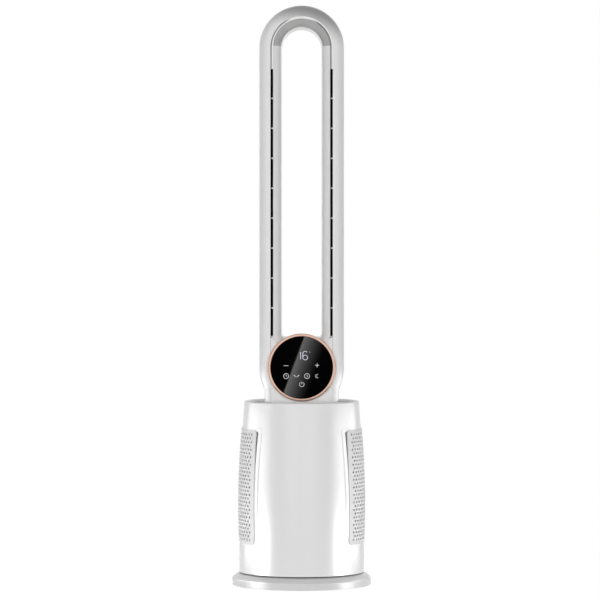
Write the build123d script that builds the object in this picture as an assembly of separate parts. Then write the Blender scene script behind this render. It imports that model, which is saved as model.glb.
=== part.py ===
from build123d import *
import os
from math import acos, atan2, cos, hypot, pi, radians, sin, sqrt, tan

# Bladeless tower fan with side filters: a round base, a drum-shaped housing that swings on it,
# and a tall hairpin-shaped air loop with a round touch display at its foot.
# Millimetres. +Z is up, the front faces -Y, and the origin is on the floor under the swing axis.

# ---- clearances ------------------------------------------------------------------------------
FIT_GAP = 0.3  # between neighbouring mouldings
RUN_GAP = 0.06  # radial, between a shaft and what it turns in
SEAT_GAP = 0.02  # radial, between a shaft and what is fixed on it
GLIDE_GAP = 0.2  # between the faces that slide as the tower swings
OVERCUT = 1.0  # how far a cutting tool runs past what it cuts

# ---- base disc -------------------------------------------------------------------------------
BASE_RADIUS = 130.0
BASE_WALL = 3.0
BASE_SKIRT_Z = 1.5  # lower edge of the rim
BASE_RIM_Z = 15.6  # top of the upright rim
BASE_TOP_Z = 23.2  # flat top under the tower
BASE_SLOPE_RUN = 16.0  # radial width of the sloping shoulder
BASE_EDGE_ROUND = 2.2
BASE_DOME = 1.6  # bulge of the shoulder over a straight slope
WELL_RADIUS = 62.0  # pit in the base's top that holds the swing gear
WELL_FLOOR_Z = 12.0
WELL_FLOOR_THICK = 2.5
FOOT_RADIUS = 9.0
FOOT_HEIGHT = 3.0
FOOT_RING_RADIUS = BASE_RADIUS - 27.0
FOOT_COUNT = 5
FOOT_EDGE = 0.6
PLATE_THICK = 2.5
BALLAST_INNER = WELL_RADIUS + 8.0
BALLAST_OUTER = BASE_RADIUS - 18.0
BALLAST_THICK = 7.0
BASE_SCREW_RING = BASE_RADIUS - 12.0
BASE_SCREW_COUNT = 6
BASE_BOSS_RADIUS = 3.6

# ---- power lead's gland ----------------------------------------------------------------------
GLAND_BORE = 3.4  # radius of the hole for the lead
GLAND_RADIUS = 4.6
GLAND_FLANGE = 5.6
GLAND_FLANGE_THICK = 2.0
GLAND_LENGTH = 8.5
GLAND_SET_BACK = 0.5  # of its outer end behind the rim
GLAND_Z = 8.2

# ---- swing gear and spindle ------------------------------------------------------------------
GEAR_MODULE = 1.25
GEAR_TEETH = 56
PINION_TEETH = 16
GEAR_FACE = 6.0
GEAR_SCREW_COUNT = 4
TOOTH_ADDENDUM = 0.8  # in modules: a stubbed tooth, which the small pinion clears
TOOTH_DEDENDUM = 1.15
TOOTH_BACKLASH = 0.25  # taken off each gear's tooth, along the pitch circle
PRESSURE_ANGLE = 20.0
SPINDLE_RADIUS = 16.0
SPINDLE_BORE = 8.0
HUB_RADIUS = 24.0
HUB_TOP_Z = 38.0
CAP_RADIUS = 23.0
CAP_THICK = 2.0
CAP_SCREW_LENGTH = 8.0
CAP_SCREW_COUNT = 3
GLIDE_INNER = 84.0
GLIDE_OUTER = 94.0
SWING_MOTOR_RADIUS = 17.5
SWING_MOTOR_HEIGHT = 18.0
SWING_MOTOR_BORE_DEPTH = 12.6
MOTOR_EDGE_ROUND = 1.5
MOTOR_LUG_THICK = 1.5
MOTOR_LUG_RADIUS = 4.0
MOTOR_LUG_CLEAR = 1.0  # from the can to a lug's screw head
MOTOR_SCREW_LENGTH = 4.0
PINION_SHAFT_RADIUS = 2.5
PINION_SHAFT_RISE = 10.8  # into the motor
PINION_COLLAR_RADIUS = 5.0
PINION_LIFT = 0.6  # over the floor of the pit
PINION_FACE = 5.0
PINION_HOLE_RADIUS = 6.0  # in the turntable, round the collar

# ---- drum housing ----------------------------------------------------------------------------
BODY_BOTTOM_Z = 25.2
BODY_RISE = 16.9  # of the rim over the neck's flange
BODY_RADIUS = 116.8  # straight lower part
BODY_STRAIGHT_Z = 90.0  # where the side starts to lean in
BODY_ARC_RADIUS = 3300.0  # of the side's profile
BODY_WALL = 2.6
RIM_WIDTH = 5.0
RIM_HEIGHT = 5.0
RIM_ROUND = 2.3
TURNTABLE_THICK = 5.0
FLANGE_THICK = 6.0
FLANGE_INNER = BODY_RADIUS - 14.0
HOUSING_SCREW_RING = BODY_RADIUS - 9.8
HOUSING_SCREW_COUNT = 8
HOUSING_SCREW_START = 22.5
TOP_COVER_THICK = 3.0
TOP_COVER_DEPTH = 5.4  # below the rim
LEDGE_THICK = 4.5
LEDGE_WIDTH = 5.0

# ---- filter doors ----------------------------------------------------------------------------
DOOR_HALF_WIDTH = 0.673 * BODY_RADIUS
DOOR_BOTTOM_Z = 80.4
DOOR_TOP_Z = 292.6
DOOR_CORNER = 7.0
DOOR_RADIUS = BODY_RADIUS + 1.9  # at its fullest
DOOR_FULL_Z = 150.0
DOOR_ARC_RADIUS = 1626.0
DOOR_CONES = 12  # short cones that make up its barrel shape
DOOR_WALL = 2.2
DOOR_LAP = 3.0  # of the door over the edge of its window
SKIRT_DEPTH = 8.0
SKIRT_WALL = 2.0
FRAME_WIDTH = 5.0  # of the thick frame round the window
FRAME_DEPTH = 4.0
HOLE_ROWS = 29
HOLE_COLUMNS = 16
HOLE_PITCH_Z = 6.96
HOLE_PITCH_ANGLE = 4.7
HOLE_HEIGHT = 4.0
HOLE_ANGLE = 1.95

# ---- filters ---------------------------------------------------------------------------------
CHASSIS_RADIUS = 83.4  # of the tube that the filters lean on
SEAL_THICK = 1.3
FILTER_INNER = CHASSIS_RADIUS + SEAL_THICK + FIT_GAP
FILTER_OUTER = BODY_RADIUS - 8.3
FILTER_HALF_ANGLE = 36.0
FILTER_FRAME_WALL = 3.0
FILTER_FRAME_ANGLE = 1.8
PLEAT_COUNT = 34
PLEAT_THICK = 0.9
PLEAT_INSET = 1.0  # behind the frame's two faces
PLEAT_GAP_ANGLE = 0.3  # to the frame at each end

# ---- chassis tube ----------------------------------------------------------------------------
CHASSIS_WALL = 2.4
CHASSIS_FLANGE_RADIUS = CHASSIS_RADIUS + 6.6
CHASSIS_FLANGE_THICK = 3.0
CHASSIS_SCREW_RING = CHASSIS_RADIUS + 3.6
CHASSIS_SCREW_COUNT = 6
FIN_HALF_ANGLE = 38.5
FIN_THICK = 1.6
FIN_OUTER = FILTER_OUTER - 7.5
SHELF_THICK = 2.0
WINDOW_HALF_WIDTH = 43.0
WINDOW_MARGIN = 8.0

# ---- fan unit --------------------------------------------------------------------------------
SHROUD_TOP_Z = 256.0
THROAT_Z = SHROUD_TOP_Z - 42.0
THROAT_RADIUS = 58.0
BELL_RADIUS = 12.0  # rounding of the inlet
DUCT_RADIUS = 64.0
DUCT_WALL = 2.4
DUCT_FLANGE_THICK = 3.0
DUCT_LEDGE_INNER = 69.0
DUCT_LEDGE_THICK = 3.0
TIP_GAP = 0.9
IMPELLER_TOP_Z = SHROUD_TOP_Z - 2.0
HUB_NOSE = 2.0  # of the hub under the throat
HUB_NOSE_RADIUS = 10.2
HUB_BELLY = 8.0  # height over the throat where the hub has its lower radius
BLADE_RISE = 3.0  # of the blades over the throat
IMPELLER_HUB_LOW = 17.0
IMPELLER_HUB_HIGH = 33.0
BLADE_COUNT = 9
BLADE_THICK = 1.8
BLADE_SWEEP = 46.0
BLADE_EASE = 0.8  # below 1, a blade winds fastest at its foot
SHAFT_RADIUS = 4.0
SHAFT_CHAMFER = 0.5
NUT_RADIUS = 8.0
NUT_HEIGHT = 6.0
BUCKET_RADIUS = 33.0
BUCKET_WALL = 2.0
BUCKET_BOTTOM_Z = SHROUD_TOP_Z + 1.0
VANE_COUNT = 9
VANE_THICK = 1.8
VANE_TURN = 14.0
DIFFUSER_WALL = 1.8
BEARING_RADIUS = 11.0
BEARING_WIDTH = 7.0
BEARING_RACE = 2.4  # radial thickness of each race
BALL_RADIUS = 1.55
BALL_COUNT = 7
BEARING_LOW_Z = BUCKET_BOTTOM_Z + 1.5
SEAT_WALL = 4.0
SEAT_FLOOR = 1.5
SHAFT_CLEAR = 2.0  # radial, round the shaft in a seat's floor
END_CAP_THICK = 2.5
BUCKET_LID = 3.5
VANE_INSET = 2.0  # of the vanes from the diffuser's ends
STATOR_BOTTOM_Z = BUCKET_BOTTOM_Z + 12.0
STATOR_TOP_Z = STATOR_BOTTOM_Z + 19.0
BEARING_HIGH_Z = STATOR_TOP_Z + 4.0
BUCKET_TOP_Z = BEARING_HIGH_Z + 12.0
DIFFUSER_TOP_Z = BUCKET_TOP_Z + 8.0
DUCT_TOP_Z = DIFFUSER_TOP_Z + 6.0
ROTOR_RADIUS = 16.4
ROTOR_OVERHANG = 1.0  # past each end of the stator
AIR_GAP = 0.7
STATOR_YOKE = 3.5
POLE_COUNT = 6
POLE_WIDTH = 8.0
COIL_BUILD = 2.2
COIL_GAP = 0.2
COIL_SET_BACK = 1.6  # from the end of its pole
GUARD_THICK = 2.4
GUARD_RIM = 4.0
GUARD_BAR = 2.4
GUARD_RINGS = 5
GUARD_SPOKES = 6

# ---- circuit board ---------------------------------------------------------------------------
BOARD_WIDTH = 80.0
BOARD_DEPTH = 46.0
BOARD_THICK = 1.6
BOARD_Y = 46.0
BOARD_LIFT = 12.0
POST_RADIUS = 3.5
POST_INSET = 5.0
BOARD_SCREW_LENGTH = 8.0
BOARD_BLOCKS = (  # middle from the board's own, width, depth and height
    (-13.0, 0.0, 22.0, 20.0, 17.0),  # transformer
    (16.0, -4.0, 24.0, 4.0, 15.0),  # heat sink
    (0.0, 18.5, 24.0, 7.0, 9.0),  # mains filter
    (-21.0, -19.0, 10.0, 6.0, 8.0),  # plug sockets
    (-5.0, -19.0, 10.0, 6.0, 8.0),
    (11.0, -19.0, 10.0, 6.0, 8.0),
)
CAPACITORS = ((8.0, 6.0), (22.0, 6.0))
CAPACITOR_RADIUS = 6.0
CAPACITOR_HEIGHT = 20.0

# ---- neck ------------------------------------------------------------------------------------
SEAL_RING_THICK = 3.0
NECK_FLANGE_THICK = 3.0
NECK_FLANGE_RADIUS = CHASSIS_RADIUS - CHASSIS_WALL - 0.4
NECK_HALF_WIDTH = 68.7
NECK_HALF_DEPTH = 50.0
NECK_CORNER = 13.5
NECK_WALL = 2.4
SPIGOT_RISE = 18.0  # how far the neck reaches up into the loop
NECK_SCREW_RING = NECK_FLANGE_RADIUS - 6.6
NECK_SCREW_ANGLES = (70, 110, 250, 290)
NECK_SCREW_BITE = 2.5  # into the chassis's ledge

# ---- air loop --------------------------------------------------------------------------------
LOOP_TOP_Z = 1080.0
LOOP_HALF_WIDTH = 79.0
LOOP_HALF_DEPTH = 50.0
OPENING_HALF_WIDTH = 37.0
OPENING_CORNER = 6.0
LOOP_WALL = 2.4
SLOT_CENTRE = 55.3  # from the loop's middle plane
SLOT_WIDTH = 4.8
SLOT_COUNT = 9
SLOT_BRIDGE = 2.4
SLOT_RISE = 118.8  # of the lowest slot over the drum's rim
SLOT_MARGIN = 38.8  # from the highest slot to the arch
LIP_ROUND = 0.8
SIDE_ROLL = 26.0  # depth over which the outer strip rolls into the side
CREASE_STEP = 1.4  # how far the crease stands out from the opening's side
CREASE_DEPTH = 11.5
STRIP_BULGE = 2.0  # of the inner strip's face over a flat bevel
STRAIGHT_INNER_Y = -12.0
TAPER_RISE = 23.5  # of the shell's foot over the drum's rim
TAPER_LENGTH = 40.8
TAPER_RADIUS = 90.5
STRIP_THICK = 1.6
STRIP_RECESS = 3.4
STRIP_LAP = 1.6
STRIP_SHOW = 0.1  # of the strip at each side of a slot
GUIDE_DEPTH = 15.0
GUIDE_FLARE = 5.5
GUIDE_WALL = 1.2
COVER_THICK = 2.4
COVER_RIB_DEPTH = 6.0
COVER_RIB_THICK = 2.0
COVER_RIB_INSET = 0.4
COVER_RIB_CLEAR = 4.0  # under the opening's lip
REAR_SCREW_INSET = 10.0
REAR_SCREW_RISE = 12.0  # over the covers' lower edge
REAR_SCREW_DROP = 8.0  # under the neck's top
REAR_SCREW_REACH = 10.0  # depth of their holes

# ---- display ---------------------------------------------------------------------------------
DISPLAY_RISE = 64.2  # of its middle over the drum's rim
RING_RADIUS = 62.8
GLASS_RADIUS = 58.1
RING_DEPTH = 9.6
RING_EDGE = 2.0
RING_SOFTENING = 1.2  # of its bevel's outer edge
RING_LEDGE = 2.0  # under the glass's rim
GLASS_THICK = 1.8
GLASS_EDGE_ROUND = 0.4
GLASS_SET_BACK = 0.6  # behind the ring's front
DISPLAY_WALL = 2.0
DISPLAY_FLOOR = 1.5
DISPLAY_BOARD_RADIUS = 48.0
DISPLAY_BOARD_Z = 3.4  # in front of the cover
DISPLAY_BOARD_THICK = 1.2
DISPLAY_SCREW_RING = 42.0
DISPLAY_SCREW_COUNT = 4
DISPLAY_SCREW_END = 1.0  # in front of the cover
STUD_RADIUS = 10.0  # hollow stud that carries the display in the front cover
STUD_BORE = 7.0
STUD_LENGTH = 6.0

# ---- screws ----------------------------------------------------------------------------------
SCREW_RADIUS = 1.5
SCREW_HEAD_RADIUS = 3.0
SCREW_HEAD = 2.0
SCREW_CROSS = 0.8  # width of the cross recess
SCREW_CROSS_SPAN = 4.2
PILOT_GAP = 0.05
HEAD_SINK = 0.5  # of a sunk head under the face
HOLE_FLOOR = 1.5  # left under a blind hole
HOLE_SPARE = 0.5  # of a blind hole past its screw
BIG = 600.0  # longer than any cut needs

# ---- derived places --------------------------------------------------------------------------
BASE_PLATE_Z = FOOT_HEIGHT
PLATE_TOP_Z = BASE_PLATE_Z + PLATE_THICK
GEAR_TOP_Z = WELL_FLOOR_Z + GEAR_FACE
CENTRE_DISTANCE = GEAR_MODULE * (GEAR_TEETH + PINION_TEETH) / 2
TURNTABLE_TOP_Z = BODY_BOTTOM_Z + TURNTABLE_THICK
CAP_Z = HUB_TOP_Z + GLIDE_GAP
CHASSIS_INNER = CHASSIS_RADIUS - CHASSIS_WALL
FLANGE_TOP_Z = DUCT_TOP_Z + DUCT_FLANGE_THICK
INLET_Z = THROAT_Z - BELL_RADIUS
INLET_RADIUS = THROAT_RADIUS + BELL_RADIUS
NECK_FLANGE_Z = FLANGE_TOP_Z + SEAL_RING_THICK
NECK_BOTTOM_Z = NECK_FLANGE_Z + NECK_FLANGE_THICK
BODY_TOP_Z = NECK_BOTTOM_Z + BODY_RISE
TOP_COVER_Z = BODY_TOP_Z - TOP_COVER_DEPTH - TOP_COVER_THICK
TAPER_BOTTOM_Z = BODY_TOP_Z + TAPER_RISE
TAPER_TOP_Z = TAPER_BOTTOM_Z + TAPER_LENGTH
DISPLAY_Z = BODY_TOP_Z + DISPLAY_RISE
SLOT_BOTTOM_Z = BODY_TOP_Z + SLOT_RISE
OPENING_BOTTOM_Z = SLOT_BOTTOM_Z + 0.7
ARCH_Z = LOOP_TOP_Z - LOOP_HALF_WIDTH
SLOT_PITCH = (ARCH_Z - SLOT_MARGIN - SLOT_BOTTOM_Z) / SLOT_COUNT
OUTER_LIP = SLOT_CENTRE + SLOT_WIDTH / 2
INNER_LIP = SLOT_CENTRE - SLOT_WIDTH / 2
CREASE = (OPENING_HALF_WIDTH + CREASE_STEP, -LOOP_HALF_DEPTH + CREASE_DEPTH)
CORNER_X = OPENING_HALF_WIDTH - OPENING_CORNER
CORNER_Z = OPENING_BOTTOM_Z + OPENING_CORNER
COVER_HALF_WIDTH = OUTER_LIP - FIT_GAP
COVER_BOTTOM_Z = TOP_COVER_Z + TOP_COVER_THICK + FIT_GAP
COVER_TOP_Z = SLOT_BOTTOM_Z
COVER_INNER_Y = LOOP_HALF_DEPTH - COVER_THICK
STRIP_FRONT_Y = -LOOP_HALF_DEPTH + STRIP_RECESS
DOOR_MID_Z = (DOOR_BOTTOM_Z + DOOR_TOP_Z) / 2
FILTER_BOTTOM_Z = DOOR_BOTTOM_Z + DOOR_LAP + SKIRT_WALL + FIT_GAP
FILTER_TOP_Z = DOOR_TOP_Z - DOOR_LAP - SKIRT_WALL - FIT_GAP


# ---- small helpers ---------------------------------------------------------------------------
def ring(outer, inner, low, high):
    """An upright round tube from low to high."""
    body = Pos(0, 0, low) * Cylinder(outer, high - low, align=(Align.CENTER, Align.CENTER, Align.MIN))
    if inner > 0:
        hole = Pos(0, 0, low - OVERCUT) * Cylinder(
            inner, high - low + 2 * OVERCUT, align=(Align.CENTER, Align.CENTER, Align.MIN)
        )
        body = body - hole
    return body


def block(x0, x1, y0, y1, z0, z1):
    """A box between two corners."""
    return Pos((x0 + x1) / 2, (y0 + y1) / 2, (z0 + z1) / 2) * Box(x1 - x0, y1 - y0, z1 - z0)


def turned(*edges):
    """A solid turned about Z from a closed outline of radius and height."""
    return revolve(Plane.XZ * make_face(Curve() + list(edges)), Axis.Z, 360)


def around(count, radius, start=0.0):
    """Points evenly spaced on a circle."""
    angles = [radians(start + 360 * k / count) for k in range(count)]
    return [(radius * cos(a), radius * sin(a)) for a in angles]


def screw(length):
    """A pan-head screw with its head up, its head's underside at the origin."""
    head = Cylinder(SCREW_HEAD_RADIUS, SCREW_HEAD, align=(Align.CENTER, Align.CENTER, Align.MIN))
    shank = Cylinder(SCREW_RADIUS, length, align=(Align.CENTER, Align.CENTER, Align.MAX))
    slot = Pos(0, 0, SCREW_HEAD) * Box(SCREW_CROSS_SPAN, SCREW_CROSS, SCREW_HEAD)
    return head + shank - slot - slot.rotate(Axis.Z, 90)


def drill(x, y, low, high, radius):
    """An upright hole's tool."""
    return Pos(x, y, low) * Cylinder(radius, high - low, align=(Align.CENTER, Align.CENTER, Align.MIN))


def profile_arc(radius_at, low, high):
    """An arc through a profile's radius at two heights and the one half-way between them."""
    middle = (low + high) / 2
    return ThreePointArc((radius_at(low), low), (radius_at(middle), middle), (radius_at(high), high))


def plate_xz(outline, y0, y1):
    """A flat outline drawn in X and Z, made solid from y0 to y1."""
    return extrude(Plane.XZ.offset(-y0) * outline, amount=y1 - y0, dir=(0, 1, 0))


def side_prism(half_width, low, high, corner):
    """A bar to the right whose section is a rounded rectangle in Y and Z."""
    start = FILTER_INNER / 2
    section = RectangleRounded(2 * half_width, high - low, corner)
    return extrude(Plane.YZ.offset(start) * Pos(0, (low + high) / 2) * section, amount=BIG)


# ---- gears -----------------------------------------------------------------------------------
def gear_face(teeth, first_tooth):
    """An involute gear's outline, with a tooth centred at the angle first_tooth, in degrees."""
    pitch = GEAR_MODULE * teeth / 2
    base = pitch * cos(radians(PRESSURE_ANGLE))
    tip = pitch + TOOTH_ADDENDUM * GEAR_MODULE
    root = pitch - TOOTH_DEDENDUM * GEAR_MODULE
    half_at_pitch = pi / (2 * teeth) - TOOTH_BACKLASH / (2 * pitch)
    involute_at_pitch = tan(radians(PRESSURE_ANGLE)) - radians(PRESSURE_ANGLE)

    def half_angle(r):
        turn = acos(min(1.0, base / r))
        return half_at_pitch + involute_at_pitch - (tan(turn) - turn)

    flank_start = max(base, root)
    steps = 4
    radii = [flank_start + (tip - flank_start) * k / steps for k in range(steps + 1)]
    points = []
    for tooth in range(teeth):
        middle = radians(first_tooth) + 2 * pi * tooth / teeth
        left = [(r, middle - half_angle(r)) for r in radii]
        right = [(r, middle + half_angle(r)) for r in reversed(radii)]
        foot = [] if root >= base else [(root, middle - half_angle(base))]
        heel = [] if root >= base else [(root, middle + half_angle(base))]
        points += foot + left + right + heel
    return make_face(Polyline(*[(r * cos(a), r * sin(a)) for r, a in points], close=True))


# ---- base ------------------------------------------------------------------------------------
def base_cover():
    """Moulded top shell of the base, with the gear's pit in its middle."""
    rim, wall, top, edge = BASE_RADIUS, BASE_WALL, BASE_TOP_Z, BASE_EDGE_ROUND
    soft = edge * (1 - cos(radians(45)))
    brow = (rim - edge, BASE_RIM_Z)
    crown = (rim - BASE_SLOPE_RUN, top)
    run, rise = brow[0] - crown[0], crown[1] - brow[1]
    reach = hypot(run, rise)
    dome = ((brow[0] + crown[0]) / 2 + BASE_DOME * rise / reach,
            (brow[1] + crown[1]) / 2 + BASE_DOME * run / reach)
    pit, floor_z = WELL_RADIUS, WELL_FLOOR_Z
    under = floor_z - WELL_FLOOR_THICK
    shell = turned(
        Line((rim, BASE_SKIRT_Z), (rim, BASE_RIM_Z - edge)),
        ThreePointArc((rim, BASE_RIM_Z - edge), (rim - soft, BASE_RIM_Z - soft), brow),
        ThreePointArc(brow, dome, crown),
        Polyline(crown, (pit, top), (pit, floor_z), (0, floor_z), (0, under), (pit + wall, under),
                 (pit + wall, top - wall), (crown[0] - wall / 2, top - wall), (rim - wall, BASE_RIM_Z - wall),
                 (rim - wall, BASE_SKIRT_Z), (rim, BASE_SKIRT_Z)),
    )
    boss_top = BASE_RIM_Z - wall
    tools = []
    for x, y in around(BASE_SCREW_COUNT, BASE_SCREW_RING):
        shell += drill(x, y, PLATE_TOP_Z, top - wall - edge / 2, BASE_BOSS_RADIUS)
        tools.append(drill(x, y, PLATE_TOP_Z - OVERCUT, boss_top, SCREW_RADIUS + PILOT_GAP))
    for x, y in around(GEAR_SCREW_COUNT, gear_screw_ring(), 45):
        tools.append(drill(x, y, under - OVERCUT, floor_z + OVERCUT, SCREW_RADIUS + PILOT_GAP))
    tools.append(Pos(0, rim, GLAND_Z) * Rot(90, 0, 0) * Cylinder(GLAND_RADIUS + PILOT_GAP, 2 * GLAND_LENGTH))
    return shell.cut(*tools)


def gear_screw_ring():
    """Radius at which the swing gear's screws stand."""
    root = GEAR_MODULE * (GEAR_TEETH / 2 - TOOTH_DEDENDUM)
    return (SPINDLE_RADIUS + root) / 2


def base_plate():
    """Pressed plate that closes the base from below."""
    plate = ring(BASE_RADIUS - BASE_WALL - FIT_GAP, 0, BASE_PLATE_Z, PLATE_TOP_Z)
    for x, y in around(BASE_SCREW_COUNT, BASE_SCREW_RING):
        plate -= drill(x, y, BASE_PLATE_Z - OVERCUT, PLATE_TOP_Z + OVERCUT, SCREW_RADIUS + PILOT_GAP)
    notch = GLAND_FLANGE + OVERCUT
    back = BASE_RADIUS - GLAND_LENGTH - 2 * OVERCUT
    return plate - block(-notch, notch, back, BASE_RADIUS, BASE_PLATE_Z - OVERCUT, PLATE_TOP_Z + OVERCUT)


def base_screws():
    """Screws from the plate up into the cover's bosses."""
    length = BASE_RIM_Z - BASE_WALL - BASE_PLATE_Z - OVERCUT
    flipped = Rot(180, 0, 0) * screw(length)
    return [Pos(x, y, BASE_PLATE_Z) * flipped for x, y in around(BASE_SCREW_COUNT, BASE_SCREW_RING)]


def ballast_ring():
    """Steel ring that keeps the tall fan upright."""
    return ring(BALLAST_OUTER, BALLAST_INNER, PLATE_TOP_Z, PLATE_TOP_Z + BALLAST_THICK)


def rubber_feet():
    """Round feet stuck under the plate."""
    return [
        Pos(x, y, 0) * chamfer(
            Cylinder(FOOT_RADIUS, FOOT_HEIGHT, align=(Align.CENTER, Align.CENTER, Align.MIN))
            .edges().group_by(Axis.Z)[0], FOOT_EDGE
        )
        for x, y in around(FOOT_COUNT, FOOT_RING_RADIUS, 90 + 180 / FOOT_COUNT)
    ]


def cord_gland():
    """Bush in the rim at the back through which a power lead enters."""
    front = BASE_RADIUS - GLAND_SET_BACK - GLAND_LENGTH
    along = Pos(0, front, GLAND_Z) * Rot(-90, 0, 0)
    low = (Align.CENTER, Align.CENTER, Align.MIN)
    bush = Cylinder(GLAND_RADIUS, GLAND_LENGTH, align=low)
    body = along * (bush + Cylinder(GLAND_FLANGE, GLAND_FLANGE_THICK, align=low))
    bore = along * Pos(0, 0, -OVERCUT) * Cylinder(GLAND_BORE, GLAND_LENGTH + 2 * OVERCUT, align=low)
    return body - bore


def spindle_gear():
    """Fixed gear in the pit, with the hollow spindle that the tower turns on."""
    disc = extrude(Pos(0, 0, WELL_FLOOR_Z) * gear_face(GEAR_TEETH, -90), GEAR_FACE)
    gear = disc + ring(SPINDLE_RADIUS, 0, WELL_FLOOR_Z, CAP_Z)
    tools = [ring(SPINDLE_BORE, 0, WELL_FLOOR_Z - OVERCUT, CAP_Z + OVERCUT)]
    sink = GEAR_TOP_Z - SCREW_HEAD - FIT_GAP
    for x, y in around(GEAR_SCREW_COUNT, gear_screw_ring(), 45):
        tools.append(drill(x, y, WELL_FLOOR_Z - OVERCUT, sink + OVERCUT, SCREW_RADIUS + PILOT_GAP))
        tools.append(drill(x, y, sink, GEAR_TOP_Z + OVERCUT, SCREW_HEAD_RADIUS + FIT_GAP))
    for x, y in around(CAP_SCREW_COUNT, cap_screw_ring()):
        tools.append(drill(x, y, CAP_Z - CAP_SCREW_LENGTH, CAP_Z + OVERCUT, SCREW_RADIUS + PILOT_GAP))
    return gear.cut(*tools)


def gear_screws():
    """Screws that hold the gear down on the base cover."""
    z = GEAR_TOP_Z - SCREW_HEAD - FIT_GAP
    length = z - (WELL_FLOOR_Z - WELL_FLOOR_THICK)
    return [Pos(x, y, z) * screw(length) for x, y in around(GEAR_SCREW_COUNT, gear_screw_ring(), 45)]


def cap_screw_ring():
    """Radius at which the spindle cap's screws stand."""
    return (SPINDLE_RADIUS + SPINDLE_BORE) / 2


def spindle_cap():
    """Washer on the spindle that keeps the tower from lifting off."""
    cap = ring(CAP_RADIUS, SPINDLE_BORE, CAP_Z, CAP_Z + CAP_THICK)
    for x, y in around(CAP_SCREW_COUNT, cap_screw_ring()):
        cap -= drill(x, y, CAP_Z - OVERCUT, CAP_Z + CAP_THICK + OVERCUT, SCREW_RADIUS + PILOT_GAP)
    return cap


def cap_screws():
    """Screws that hold the cap on the spindle."""
    z = CAP_Z + CAP_THICK
    return [Pos(x, y, z) * screw(CAP_SCREW_LENGTH) for x, y in around(CAP_SCREW_COUNT, cap_screw_ring())]


def glide_ring():
    """Low-friction ring that carries the tower's weight."""
    return ring(GLIDE_OUTER, GLIDE_INNER, BASE_TOP_Z, BODY_BOTTOM_Z - GLIDE_GAP)


# ---- tower floor and swing drive -------------------------------------------------------------
def board_posts():
    """Places of the four posts under the control board."""
    dx = BOARD_WIDTH / 2 - POST_INSET
    dy = BOARD_DEPTH / 2 - POST_INSET
    return [(sx * dx, BOARD_Y + sy * dy) for sx in (-1, 1) for sy in (-1, 1)]


def turntable():
    """Floor of the tower, with the hub that turns on the spindle."""
    radius = BODY_RADIUS - BODY_WALL - FIT_GAP
    floor = ring(radius, 0, BODY_BOTTOM_Z, TURNTABLE_TOP_Z)
    floor += ring(HUB_RADIUS, 0, TURNTABLE_TOP_Z, HUB_TOP_Z)
    floor -= ring(SPINDLE_RADIUS + RUN_GAP, 0, BODY_BOTTOM_Z - OVERCUT, HUB_TOP_Z + OVERCUT)
    under, over = BODY_BOTTOM_Z - OVERCUT, TURNTABLE_TOP_Z + OVERCUT
    pilot = SCREW_RADIUS + PILOT_GAP
    floor -= drill(0, -CENTRE_DISTANCE, under, over, PINION_HOLE_RADIUS)
    for x, y in housing_screw_places():
        floor -= drill(x, y, under, over, pilot)
        floor -= drill(x, y, under, BODY_BOTTOM_Z + SCREW_HEAD + HEAD_SINK, SCREW_HEAD_RADIUS + FIT_GAP)
    for x, y in board_posts():
        floor += drill(x, y, TURNTABLE_TOP_Z, TURNTABLE_TOP_Z + BOARD_LIFT, POST_RADIUS)
        floor -= drill(x, y, TURNTABLE_TOP_Z + HOLE_FLOOR, TURNTABLE_TOP_Z + BOARD_LIFT + OVERCUT, pilot)
    for x, y in around(CHASSIS_SCREW_COUNT, CHASSIS_SCREW_RING) + motor_lugs():
        floor -= drill(x, y, BODY_BOTTOM_Z + HOLE_FLOOR, TURNTABLE_TOP_Z + OVERCUT, pilot)
    return floor


def housing_screw_places():
    """Places of the screws from the turntable up into the housings."""
    return around(HOUSING_SCREW_COUNT, HOUSING_SCREW_RING, HOUSING_SCREW_START)


def housing_screws():
    """Screws from under the turntable into the two housings."""
    z = BODY_BOTTOM_Z + SCREW_HEAD + HEAD_SINK
    length = TURNTABLE_TOP_Z - z + FLANGE_THICK - HOLE_FLOOR - HOLE_SPARE
    flipped = Rot(180, 0, 0) * screw(length)
    return [Pos(x, y, z) * flipped for x, y in housing_screw_places()]


def motor_lugs():
    """Places of the swing motor's two screws."""
    reach = SWING_MOTOR_RADIUS + SCREW_HEAD_RADIUS + MOTOR_LUG_CLEAR
    return [(-reach, -CENTRE_DISTANCE), (reach, -CENTRE_DISTANCE)]


def swing_motor():
    """Geared motor that turns the pinion."""
    z = TURNTABLE_TOP_Z
    can = drill(0, -CENTRE_DISTANCE, z, z + SWING_MOTOR_HEIGHT, SWING_MOTOR_RADIUS)
    can = fillet(can.edges().group_by(Axis.Z)[-1], MOTOR_EDGE_ROUND)
    (lug, y), _ = motor_lugs()
    lug_top = z + MOTOR_LUG_THICK
    can += block(lug, -lug, y - MOTOR_LUG_RADIUS, y + MOTOR_LUG_RADIUS, z, lug_top)
    for x, y in motor_lugs():
        can += drill(x, y, z, lug_top, MOTOR_LUG_RADIUS)
        can -= drill(x, y, z - OVERCUT, lug_top + OVERCUT, SCREW_RADIUS + PILOT_GAP)
    bore = PINION_SHAFT_RADIUS + RUN_GAP
    return can - drill(0, -CENTRE_DISTANCE, z - OVERCUT, z + SWING_MOTOR_BORE_DEPTH, bore)


def motor_screws():
    """Screws that hold the swing motor down."""
    z = TURNTABLE_TOP_Z + MOTOR_LUG_THICK
    return [Pos(x, y, z) * screw(MOTOR_SCREW_LENGTH) for x, y in motor_lugs()]


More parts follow.
